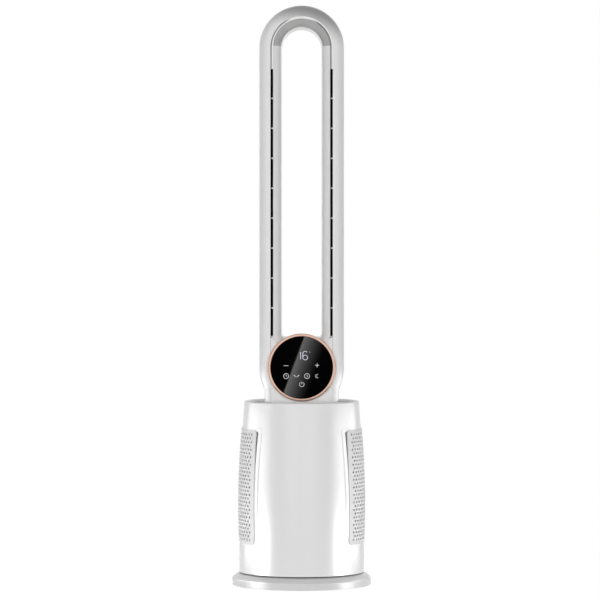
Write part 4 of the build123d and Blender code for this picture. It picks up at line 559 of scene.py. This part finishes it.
def swept_sheet(name, outline, rows, shape):
    """A sheet: an outline of (radius, angle) points, repeated in rows that shape() then moves."""
    mesh = bpy.data.meshes.new(name)
    places, faces = [], []
    for row in range(rows + 1):
        z = FILTER_LOW + (FILTER_HIGH - FILTER_LOW) * row / rows
        for step, (radius, angle) in enumerate(outline):
            radius, angle = shape(radius, angle, z, step)
            places.append(on_drum(radius, angle, z))
    width = len(outline)
    for row in range(rows):
        for step in range(width - 1):
            corner = row * width + step
            faces.append((corner, corner + 1, corner + width + 1, corner + width))
    mesh.from_pydata(places, [], faces)
    return in_scene(name, mesh)


def ripple(size, per_mm, per_step, z, step):
    """A wave of this size that runs up the height and along the steps of the outline."""
    return size * math.sin(z * per_mm + step * per_step)


def crumple(radius, angle, z, step):
    """Paper is never quite flat: pleats lean between their tips, and the outer tips are dented."""
    belly = (radius - PLEAT_NEAR) * (PLEAT_FAR - radius) / (PLEAT_FAR - PLEAT_NEAR) ** 2 * 4
    lean = sum(ripple(*wave, z, step) for wave in LEANS)
    if radius > PLEAT_FAR - TIP_DEPTH / 2:
        radius -= DENT[0] + ripple(*DENT, z, step)
    return radius, angle + lean * belly / radius


def felted(radius, angle, z, step):
    """Felt lies a little unevenly on the tips."""
    return radius + ripple(*FELT_WAVE, z, step), angle


def pleat_outline():
    """One fold after another, each tip round, with one more point in the middle of each leg."""
    points = []
    half = PLEAT_HALF_TURN / PLEATS / 2
    for tip in range(2 * PLEATS + 1):
        angle = PLEAT_HALF_TURN * (tip / PLEATS - 1)
        edge, inward = (PLEAT_NEAR, TIP_DEPTH) if tip % 2 else (PLEAT_FAR, -TIP_DEPTH)
        points += [(edge + inward, angle - half * TIP_SHARE), (edge, angle),
                   (edge + inward, angle + half * TIP_SHARE)]
        if tip < 2 * PLEATS:
            points.append(((PLEAT_NEAR + PLEAT_FAR) / 2, angle + half))
    return points[1:-1]


def foam_frame():
    """A sheet of foam cut as a frame, its edges rounded, and bent to the back of the filter."""
    across, up = FOAM_STEPS
    bpy.ops.mesh.primitive_grid_add(x_subdivisions=across, y_subdivisions=up, size=2)
    piece = bpy.context.object
    halves = FOAM_HALF_TURN * FOAM_FAR, (FOAM_HIGH - FOAM_LOW) / 2
    bpy.ops.object.mode_set(mode="EDIT")
    mesh = bmesh.from_edit_mesh(piece.data)
    for vert in mesh.verts:
        for axis, (half, steps) in enumerate(zip(halves, FOAM_STEPS)):
            place = round((vert.co[axis] + 1) / 2 * steps)
            if place in (0, steps):
                vert.co[axis] = half * (1 if place else -1)
            else:
                vert.co[axis] = (half - FOAM_WIDTH) * (2 * (place - 1) / (steps - 2) - 1)
    bmesh.update_edit_mesh(piece.data)

    def in_window(vert):
        return all(abs(vert.co[axis]) < halves[axis] - FOAM_WIDTH + NEARLY for axis in (0, 1))

    choose(piece, "faces", lambda face: all(in_window(vert) for vert in face.verts))
    bpy.ops.mesh.delete(type="FACE")
    bpy.ops.object.mode_set(mode="OBJECT")
    modify(piece, "SOLIDIFY", thickness=FOAM_FAR - FOAM_NEAR, offset=-1)
    modify(piece, "BEVEL", width=FOAM_ROUND, segments=2, limit_method="ANGLE",
           angle_limit=math.radians(40))
    for vert in piece.data.vertices:
        run, rise, depth = vert.co
        vert.co = on_drum(FOAM_FAR + depth, run / FOAM_FAR, FOAM_LOW + halves[1] + rise)
    piece.name = piece.data.name = "right_foam_seal"
    return piece


def strand(name, points, radius, roundness, closed=False):
    """A round strand through points, as a mesh."""
    curve = bpy.data.curves.new(name, "CURVE")
    curve.dimensions, curve.bevel_depth, curve.bevel_resolution = "3D", radius, roundness
    curve.use_fill_caps = True
    spline = curve.splines.new("POLY")
    spline.points.add(len(points) - 1)
    spline.use_cyclic_u = closed
    for point, place in zip(spline.points, points):
        point.co = (*place, 1)
    piece = in_scene(name, curve)
    only(piece)
    bpy.ops.object.convert(target="MESH")
    return piece


def glue_line(z):
    """A bead of glue round the inner tips of the pleats, sagging a little between them."""
    steps = 4 * PLEATS
    points = []
    for step in range(steps + 1):
        angle = PLEAT_HALF_TURN * (2 * step / steps - 1) * GLUE_SHARE
        points.append(on_drum(GLUE_NEAR + GLUE_WAVE * (step % 2), angle,
                              z + ripple(GLUE_SAG, 0.0, 1.3, z, step)))
    return strand("glue", points, GLUE_RADIUS * MM, 2)


outline = pleat_outline()
folds = [(radius * math.cos(angle), radius * math.sin(angle)) for radius, angle in outline]
pleated = swept_sheet("right_pleats", outline, PAPER_ROWS, crumple)
modify(pleated, "SOLIDIFY", thickness=PAPER * MM, offset=0)

arch = [(FELT_RADIUS, PLEAT_HALF_TURN * (2 * k / FELT_STEPS - 1)) for k in range(FELT_STEPS + 1)]
felt_sheet = swept_sheet("right_lint_felt", arch, FELT_ROWS, felted)
modify(felt_sheet, "SOLIDIFY", thickness=FELT * MM, offset=0)

seal = foam_frame()
glue_beads = joined("right_pleat_glue", *[glue_line(z) for z in GLUE_LEVELS])
for piece, finish, sharp in ((pleated, paper, 60), (felt_sheet, felt, 60), (seal, foam, 50),
                             (glue_beads, glue, 60)):
    smoothed(piece, sharp)
    coloured(piece, finish)

for part, stands_for, finish_slot in (
        (glue_beads, None, "filter_paper"), (pleated, "_filter_pleats", "filter_paper"),
        (felt_sheet, None, "foam"), (seal, "_filter_seal", "foam")):
    for piece in (part, mirrored(part)):
        side = piece.name.split("_")[0]
        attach(piece, "tower")
        if stands_for:
            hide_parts(side + stands_for)
        if part is pleated:
            side + "_filter_frame"
            side + "_pleat_glue"
        if part is felt_sheet:
            side + "_pleats"


# ---- chassis and air path --------------------------------------------------------------------
# Grey chassis tube, black duct, guard and impeller, and the grey diffuser with the motor's cap.
# All are satin mouldings; the impeller keeps the finer texture of its own tool.
chassis_grey = moulding("chassis_grey", grey(0.30), grey(0.35), 0.52, 0.00005, 1200.0)
dress(chassis_grey, "chassis", "diffuser", "motor_end_cap")
duct_black = moulding("duct_black", grey(0.035), grey(0.05), 0.48, 0.00005, 1200.0)
dress(duct_black, "fan_duct", "inlet_guard")
impeller_black = moulding("impeller_black", grey(0.04), grey(0.055), 0.36, 0.00002, 1800.0)
dress(impeller_black, "impeller")


# ---- motor -----------------------------------------------------------------------------------
# The impeller's motor, in a bucket of its own: a ground shaft and its bearings, a stack of
# lacquered sheets and coils of enamelled copper wire.
ground_steel = metal("ground_steel", grey(0.60), grey(0.76), 0.2, (200.0, 200.0, 3000.0), 0.00001)
dress(ground_steel, "motor_shaft", "impeller_nut", "bearing_inner_races", "bearing_outer_races",
      "bearing_balls")

sheets = Finish("sheet_stack")
layers = sheets.node("TexWave", {"bands_direction": "Z"}, {"Vector": sheets.place, "Scale": 320.0})
sheets.paint(
    base_color=sheets.blend(layers, grey(0.14, 0.004), grey(0.42)), metallic=1.0, roughness=0.45,
    normal=sheets.bump(layers, 0.00015))
dress(sheets, "motor_stator")

copper = Finish("copper_wire")
turns = copper.node("TexWave", {"bands_direction": "Z"},
                    {"Vector": copper.place, "Scale": 260.0, "Distortion": 0.6})
copper.paint(
    base_color=copper.blend(turns, (0.32, 0.12, 0.05, 1.0), (0.80, 0.40, 0.22, 1.0)), metallic=1.0,
    roughness=0.28, normal=copper.bump(turns, 0.0003))
dress(copper, "motor_windings")


# ---- electronics -----------------------------------------------------------------------------
# Green lacquered boards with black parts, screwed to their posts and into the display's cup, and
# the clear light guide between the small board and the glass.
board = Finish("board_lacquer")
weave = board.node("TexChecker", {}, {"Vector": board.place, "Scale": 900.0}, out="Fac")
board.paint(
    base_color=board.blend(weave, (0.012, 0.13, 0.045, 1.0), (0.02, 0.19, 0.07, 1.0)),
    roughness=0.32, normal=board.bump(weave, 0.00002))
dress(board, "control_board", "display_board")
part_black = moulding("part_black", grey(0.03), grey(0.06), 0.4, 0.00003, 1500.0)
dress(part_black, "board_components")
light_guide = moulding("light_guide", grey(0.80), grey(0.88), 0.12, 0.00001, 500.0)
light_guide.paint(transmission_weight=0.9, ior=1.49)
dress(light_guide, "display_lens")


# ---- neck seal -------------------------------------------------------------------------------
# A flat ring of black closed-cell foam between the duct and the neck's flange. It is squeezed, so
# its inner and outer edges swell, and four screws pass through punched holes.
NECK_SEAL_MIDDLE, NECK_SEAL_HALF = 73.5, 6.85
NECK_SEAL_LOW, NECK_SEAL_HIGH = 321.05, 323.95
NECK_SCREW_RING, NECK_SCREW_HOLE = 74.0, 1.6
NECK_SCREW_TURNS = (70, 110, 250, 290)
SEAL_TURNS = 144
BULGE, FLATNESS = 0.35, 0.45  # powers that square the round section, the less the squarer


def squared(share, power):
    """Pushes a circle's point outwards, so that the circle turns into a rounded square."""
    return math.copysign(abs(share) ** power, share) if abs(share) > 1e-6 else 0.0


bpy.ops.mesh.primitive_circle_add(vertices=12, radius=1.0, fill_type="NOTHING")
neck_foam = bpy.context.object
neck_foam.name = neck_foam.data.name = "neck_foam_seal"
bpy.ops.object.mode_set(mode="EDIT")
mesh = bmesh.from_edit_mesh(neck_foam.data)
for vert in mesh.verts:
    out, rise = squared(vert.co.x, BULGE), squared(vert.co.y, FLATNESS)
    height = (NECK_SEAL_LOW + NECK_SEAL_HIGH) / 2 + rise * (NECK_SEAL_HIGH - NECK_SEAL_LOW) / 2
    vert.co = on_drum(NECK_SEAL_MIDDLE + out * NECK_SEAL_HALF, 0.0, height)
bmesh.update_edit_mesh(neck_foam.data)
bpy.ops.mesh.select_all(action="SELECT")
bpy.ops.mesh.spin(steps=SEAL_TURNS, angle=math.tau, center=(0, 0, 0), axis=(0, 0, 1))
bpy.ops.mesh.remove_doubles(threshold=0.00001)
bpy.ops.mesh.normals_make_consistent(inside=False)
bpy.ops.object.mode_set(mode="OBJECT")
for turn in NECK_SCREW_TURNS:
    hole = on_drum(NECK_SCREW_RING, math.radians(turn), NECK_SEAL_LOW)
    bpy.ops.mesh.primitive_cylinder_add(vertices=24, radius=NECK_SCREW_HOLE * MM, depth=10 * MM,
                                        location=hole)
    punch = bpy.context.object
    modify(neck_foam, "BOOLEAN", object=punch, operation="DIFFERENCE")
    bpy.data.objects.remove(punch)
smoothed(neck_foam, 50)
coloured(neck_foam, foam)
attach(neck_foam, "tower")
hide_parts("neck_seal")


# ---- neck and loop ---------------------------------------------------------------------------
# The air loop is two long white mouldings: an outer channel and the inner ring round the opening.
# Towards the arch they turn grey, which is painted shade: soft on the outer ring's front, and
# ending in a straight line on the legs' inner strip.
# Their back walls are painted black inside where they face the front, which is painted shade, so
# that nothing pale shows through the slots.
ARCH_Z = 1.001  # where the legs end and the arch begins
CREASE_Y = -0.0383  # where the ring's wall turns to the inner strip on its front
ARCH_SHADE_LOW, ARCH_SHADE_HIGH = ARCH_Z + 0.022, ARCH_Z + 0.080
ARCH_SHADE_SLANT = 0.3  # the painted shade begins a little higher on the left
ARCH_SHADE_BACK, ARCH_SHADE_FRONT = -0.006, -0.034
STRIP_SHADE_LINE = ARCH_Z + 0.003  # where the painted shade of the inner strip starts
SHADE_LINING_FRONT = 0.0  # the painted black shade starts half way to the back

neck_white = gloss_white("neck_white")
dress(neck_white, "neck_tube")


def loop_white(name, level, ring_painted_shade, strip_painted_shade):
    """The loop's gloss white, with painted shade in grey at its arch (soft on the ring, sharp on
    the strip) and painted shade in black inside its back walls.
    """
    finish = gloss_white(name, level)
    x, y, z = finish.axes()
    white = Wire(finish.shader.inputs["Base Color"].links[0].from_socket)
    # Painted shade: grey towards the top of the arch, on its front only.
    rise = finish.eased(z + x * ARCH_SHADE_SLANT, ARCH_SHADE_LOW, ARCH_SHADE_HIGH)
    front = finish.eased(y, ARCH_SHADE_BACK, ARCH_SHADE_FRONT)
    ring = finish.blend(rise * front, white, ring_painted_shade)
    if strip_painted_shade:
        ring = finish.blend((z > STRIP_SHADE_LINE) * (y < CREASE_Y), ring, strip_painted_shade)
    # Painted shade: black, without gloss, on the inside faces of the back walls that look to the
    # front.
    facing_y = finish.axes(finish.node("TexCoord", out="Normal"))[1]
    shade_lining = (y > SHADE_LINING_FRONT) * (facing_y < -0.1)
    return finish.paint(base_color=finish.blend(shade_lining, ring, grey(0.004)), metallic=shade_lining,
                        coat_weight=(1 - shade_lining) * GLOSS)


# The greys given here are the painted shade of the arch.
outer_white = loop_white("outer_white", 0.86, grey(0.33), None)
# The inner ring's white is a darker copy of the outer shell's white: painted shade.
inner_white = loop_white("inner_white", 0.75, grey(0.44), grey(0.38, 0.003))
dress(outer_white, "outer_shell")
dress(inner_white, "inner_shell")

LIP_MIDDLE = 0.0555  # from the loop's middle line to the middle of the strip
PAINTED_LINE_BLUR = 0.0006
TOP_END, LEG_START = 0.00012, 0.0011  # squared distances from the loop's middle line, between which the painted shadow fades in
# The strip's colour is painted light: a pale painted highlight on the right of its groove and a
# dark painted shadow on the left, as if lit from the left. The shadow fades out towards the top of
# the arch.
strip_satin = moulding("strip_satin", grey(0.48), grey(0.53), 0.45, 0.00003, 1500.0)
strip_x, _, strip_z = strip_satin.axes()
over = strip_z.maths("MAXIMUM", strip_z - ARCH_Z, 0.0)
outwards = ((strip_x * strip_x + over * over) ** 0.5 - LIP_MIDDLE) * strip_x.maths("SIGN", strip_x)
painted_highlight_side = strip_satin.eased(outwards, -PAINTED_LINE_BLUR, PAINTED_LINE_BLUR)
painted_shadow_reach = strip_satin.eased(strip_x * strip_x, TOP_END, LEG_START)
strip_satin.paint(base_color=strip_satin.blend((1 - painted_highlight_side) * painted_shadow_reach, grey(0.92), grey(0.20)))
dress(strip_satin, "nozzle_strip")
# The guides are black plastic, but darker than it and without any gloss, which is painted shade
# seen through the slots.
guide_black = moulding("guide_black", grey(0.002), grey(0.006), 0.95, 0.00005, 1500.0)
guide_black.paint(specular_ior_level=0.0)
dress(guide_black, "right_nozzle_guide", "left_nozzle_guide")


# ---- loop gasket -----------------------------------------------------------------------------
# A flat strip of black rubber, pressed against the inside of the loop's rear seam so that no air
# and no light comes through it. It follows the seam up one leg, round the arch and down the other.
GASKET_OFF = 0.0553  # from the loop's middle line, as the seam
GASKET_Y = 0.0474
GASKET_LOW = 0.4642
GASKET_HALF_WIDTH, GASKET_HALF_THICK = 0.0015, 0.0004
GASKET_STEPS = 48  # round the arch

route = [(GASKET_OFF, 0, GASKET_LOW)]
for step in range(GASKET_STEPS + 1):
    turn = math.pi * step / GASKET_STEPS
    route.append((GASKET_OFF * math.cos(turn), 0, ARCH_Z + GASKET_OFF * math.sin(turn)))
route.append((-GASKET_OFF, 0, GASKET_LOW))
gasket = strand("loop_gasket", route, GASKET_HALF_WIDTH, 3)
gasket.location = (0, GASKET_Y, 0)
gasket.scale = (1, GASKET_HALF_THICK / GASKET_HALF_WIDTH, 1)
settle(gasket)
smoothed(gasket, 50)
gasket_rubber = moulding("gasket_rubber", grey(0.006), grey(0.012), 0.9, 0.00005, 1200.0)
coloured(gasket, gasket_rubber)
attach(gasket, "tower")


# ---- covers ----------------------------------------------------------------------------------
# Glossy white panels that close the foot of the loop in front and behind. The rear one is screwed
# on, and the front one carries the display.
cover_white = gloss_white("cover_white", 0.79)
dress(cover_white, "front_cover", "rear_cover")


# ---- display ---------------------------------------------------------------------------------
# A turned ring plated in rose gold round a disc of black glass. Digits and touch symbols shine
# through the glass from thin printed windows.
DISPLAY_Z = 0.4081
GLASS_FRONT = -0.05915
RING_INNER, RING_WIDTH = 0.0568, 0.00625  # the band of the ring that the painted highlight and painted shade of the plating cross
PRINT_THICK = 0.00006

rose_gold = Finish("rose_gold")
ring_x, _, ring_z = rose_gold.axes()
ring_z = ring_z - DISPLAY_Z
ring_radius = (ring_x * ring_x + ring_z * ring_z) ** 0.5
# Painted light across the ring: shade at its inner and outer edges, and a painted highlight band
# between them.
rose_and_painted_light_tones = ((0.0, (0.60, 0.34, 0.24, 1.0)), (0.25, (0.70, 0.44, 0.33, 1.0)),
         (0.5, (0.80, 0.58, 0.48, 1.0)), (0.72, (0.72, 0.47, 0.38, 1.0)),
         (1.0, (0.42, 0.24, 0.19, 1.0)))
plating_and_painted_light = rose_gold.node("ValToRGB", {"stops": rose_and_painted_light_tones},
                         {"Fac": (ring_radius - RING_INNER) / RING_WIDTH})
turning = rose_gold.node("TexNoise", {"noise_dimensions": "1D"},
                         {"W": ring_radius * 9000.0, "Detail": 2.0})
rose_gold.paint(
    base_color=rose_gold.blend(turning * 0.3, plating_and_painted_light, (0.72, 0.42, 0.30, 1.0)), metallic=1.0,
    roughness=turning * 0.12 + 0.2, normal=rose_gold.bump(turning, 0.00002))
dress(rose_gold, "display_ring")

black_glass = Finish("black_glass")
smears = black_glass.noise(38.0, 5.0)
black_glass.paint(
    base_color=black_glass.blend(smears, grey(0.0005), grey(0.002)),
    roughness=smears * 0.012 + 0.004, ior=1.45)
dress(black_glass, "display_glass")
bezel_black = moulding("bezel_black", grey(0.02), grey(0.035), 0.5, 0.00004, 1500.0)
dress(bezel_black, "display_housing")


def line(points, width, closed=False):
    """A printed line of light, its points in millimetres from the display's centre."""
    piece = strand("line", [(x, 0, z) for x, z in points], width / 2, 1, closed)
    piece.location = (0, GLASS_FRONT - PRINT_THICK / 2, DISPLAY_Z)
    piece.scale = (MM, PRINT_THICK / width, MM)
    settle(piece)
    return piece


def arc(x, z, radius, start, end, steps=24):
    """Points of an arc, counter-clockwise from start to end in degrees."""
    angles = [math.radians(start + (end - start) * k / steps) for k in range(steps + 1)]
    return [(x + radius * math.cos(a), z + radius * math.sin(a)) for a in angles]


def circle(x, z, radius):
    """Points of a whole circle, for a closed line."""
    return arc(x, z, radius, 0, 345, 23)


def glow(name, colour, strength):
    """Light behind a printed window, uneven as from one small lamp."""
    finish = Finish(name)
    spots = finish.noise(400.0, 2.0)
    dim = tuple(c * 0.8 for c in colour[:3]) + (1.0,)
    return finish.paint(base_color=grey(0.4), roughness=0.4, emission_strength=strength,
                        emission_color=finish.blend(spots, dim, colour))


digits = joined(
    "display_digits",
    line([(-2.0, 15.2), (-2.0, 28.4)], 1.0),
    line(circle(6.5, 18.4, 4.4), 1.0, True),
    line([(2.1, 18.4)] + arc(6.5, 25.6, 4.4, 180, 35, 16), 1.0))
coloured(digits, glow("digit_light", (0.72, 0.72, 0.92, 1.0), 0.75))
symbols = joined(
    "display_symbols",
    line([(-33.6, 3.5), (-24.6, 3.5)], 0.9),
    line([(25.0, 4.1), (32.4, 4.1)], 0.9),
    line([(28.7, 0.6), (28.7, 7.6)], 0.9),
    line(circle(-28.8, -15.9, 4.7), 0.9, True),
    line([(-28.8, -13.0), (-28.8, -15.9), (-26.6, -15.9)], 0.8),
    line(arc(-9.7, -13.6, 3.7, 200, 340), 0.7),
    line([(-14.7, -14.4), (-13.2, -14.8), (-12.8, -16.4)], 1.5),
    line([(-4.7, -14.4), (-6.2, -14.8), (-6.6, -16.4)], 1.5),
    line(circle(10.1, -15.9, 4.7), 0.9, True),
    line([(11.4, -13.4), (9.2, -16.0), (11.3, -16.2), (9.3, -18.6)], 0.8),
    line(arc(0.2, -31.3, 4.3, 125, 415), 0.9),
    line([(0.2, -26.2), (0.2, -30.8)], 0.9))
coloured(symbols, glow("symbol_light", (0.80, 0.80, 0.82, 1.0), 0.6))
night = joined(
    "display_night_symbol",
    line(circle(15.0, 28.4, 0.9), 0.4, True),
    line(arc(28.7, -15.9, 3.3, 60, 300), 0.8),
    line(arc(31.0, -15.9, 3.4, 100, 260), 0.7))
coloured(night, glow("night_light", (0.42, 0.42, 0.42, 1.0), 0.5))
for piece in (digits, symbols, night):
    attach(piece, "tower")


# ---- studio ----------------------------------------------------------------------------------
# Pale floor and white surroundings. Each side has a large soft box in front, one behind and one on
# the flank, and two low ones that make the gleam on the drum and the base. A dark card behind the
# camera keeps the glass black, and one soft edge of light crosses it.
FLOOR_GLOW = 0.82
SHADE_NEAR, SHADE_FAR = 0.25, 0.9  # the floor's shade fades to white between these


def surroundings(tree, dim, white):
    """Mixes a shader that lights the object with one for what the camera, metal and glass see."""
    path = tree.nodes.new("ShaderNodeLightPath")
    seen = Wire(path.outputs["Is Camera Ray"]) + Wire(path.outputs["Is Glossy Ray"])
    seen = seen + Wire(path.outputs["Is Transmission Ray"])
    mix = tree.nodes.new("ShaderNodeMixShader")
    tree.links.new(seen.maths("MINIMUM", seen, 1.0).socket, mix.inputs[0])
    tree.links.new(dim, mix.inputs[1])
    tree.links.new(white, mix.inputs[2])
    return mix.outputs[0]


world = bpy.data.worlds.new("studio")
bpy.context.scene.world = world
world.use_nodes = True
sky = world.node_tree
sky_dim, sky_white = sky.nodes["Background"], sky.nodes.new("ShaderNodeBackground")
for background, strength in ((sky_dim, 0.1), (sky_white, 1.0)):
    background.inputs["Color"].default_value = grey(1.0)
    background.inputs["Strength"].default_value = strength
sky.links.new(surroundings(sky, sky_dim.outputs[0], sky_white.outputs[0]),
              sky.nodes["World Output"].inputs["Surface"])

bpy.ops.mesh.primitive_circle_add(vertices=96, radius=5.0, fill_type="NGON")
ground = bpy.context.object
ground.name = "studio_floor"
floor_finish = Finish("studio_floor")
floor_finish.paint(base_color=grey(0.8), roughness=0.9)
near_pale = floor_finish.node("Emission", {}, {"Strength": FLOOR_GLOW})
pale_diffuse = floor_finish.node("BsdfDiffuse", {}, {"Color": grey(0.5)})
shaded = floor_finish.node("AddShader", {}, {0: near_pale, 1: pale_diffuse})
plain_white = floor_finish.node("Emission")
reach = floor_finish.node("VectorMath", {"operation": "LENGTH"}, {0: floor_finish.place},
                          out="Value")
fade = floor_finish.eased(reach, SHADE_NEAR, SHADE_FAR)
seen_floor = floor_finish.node("MixShader", {}, {0: fade, 1: shaded, 2: plain_white})
tree = floor_finish.tree
tree.links.new(surroundings(tree, floor_finish.shader.outputs[0], seen_floor.socket),
               tree.nodes["Material Output"].inputs["Surface"])
coloured(ground, floor_finish)


def soft_box(name, place, aim, width, height, power):
    """A rectangular lamp that looks at a point."""
    lamp = bpy.data.lights.new(name, "AREA")
    lamp.shape = "RECTANGLE"
    lamp.size, lamp.size_y, lamp.energy = width, height, power
    box = in_scene(name, lamp)
    box.location = place
    box.rotation_euler = (Vector(aim) - Vector(place)).to_track_quat("-Z", "Y").to_euler()
    box.visible_camera = False
    return box


# The low boxes would turn the polished display ring white, so they are kept off it.
unlit = bpy.data.collections.new("kept_off_the_gleam")
unlit.objects.link(nodes["display_ring"])
for side, name, power in ((-1, "left", 52.0), (1, "right", 43.0)):
    front = soft_box(name + "_front_box", (side * 1.15, -3.6, 0.8), (0, 0, 0.5), 1.4, 1.6, power)
    rear = soft_box(name + "_rear_box", (side * 2.2, 3.3, 0.9), (0, 0, 0.5), 1.4, 1.6, 56.0)
    flank = soft_box(name + "_flank_box", (side * 1.9, 0.7, 0.9), (0, 0, 0.6), 0.8, 1.5, 3.2)
    front.visible_glossy = rear.visible_glossy = flank.visible_glossy = False
    gleam = soft_box(name + "_gleam_box", (side * 0.45, -0.02, 0.18), (0, -0.02, 0.18),
                     0.48, 0.36, 2.8)
    sheen = soft_box(name + "_rim_box", (side * 0.45, -0.17, 0.05), (side * 0.1, -0.1, 0.012),
                     0.2, 0.08, 0.26)
    sheen.data.spread = math.radians(60)
    gleam.visible_diffuse = sheen.visible_diffuse = False
    gleam.light_linking.receiver_collection = unlit
unlit.collection_objects[0].light_linking.link_state = "EXCLUDE"

CARD_SIDE = 0.34
CARD_PLACE = (0, -6.6, 0.168)
EDGE_OFF, EDGE_SLANT, EDGE_FADE = 0.0336, 0.37, 0.1  # the edge of light that slants over it
EDGE_GLOW = 3.8

bpy.ops.mesh.primitive_plane_add(size=1)
card_piece = bpy.context.object
card_piece.name = "studio_card"
card_piece.scale = (CARD_SIDE, CARD_SIDE, 1)
card_piece.rotation_euler = (math.radians(90), 0, 0)
card_piece.location = CARD_PLACE
settle(card_piece)
card_finish = Finish("studio_card")
card_x, _, card_z = card_finish.axes()
across = card_x + EDGE_OFF - (card_z - CARD_PLACE[2]) * EDGE_SLANT
sweep = card_finish.node("MapRange", {}, {"Value": across, "From Min": 0.0, "From Max": EDGE_FADE,
                                          "To Min": 1.0, "To Max": 0.0})
lit = (across > 0.0) * sweep * sweep
card_glow = card_finish.node("Emission", {}, {"Color": grey(1.0), "Strength": lit * EDGE_GLOW})
card_finish.join(card_finish.tree.nodes["Material Output"].inputs["Surface"], card_glow)
coloured(card_piece, card_finish)
card_piece.visible_camera = card_piece.visible_diffuse = card_piece.visible_shadow = False


# ---- camera ----------------------------------------------------------------------------------
# Six metres away and 0.62 m above the floor, level with the lower half of the loop. Its long lens
# looks down by less than a degree, as fitted to the photograph.
CAMERA_AWAY, CAMERA_HEIGHT = 5.963, 0.6247
TILT_DOWN = 0.889

lens = bpy.data.cameras.new("camera")
lens.lens, lens.sensor_width = 191.4, 36.0
lens.shift_x = -0.0028
lens.clip_end = 60.0
camera = in_scene("camera", lens)
camera.location = (0, -CAMERA_AWAY, CAMERA_HEIGHT)
camera.rotation_euler = (math.radians(90 - TILT_DOWN), 0, 0)
bpy.context.scene.camera = camera
bpy.context.scene.view_settings.view_transform = "Standard"
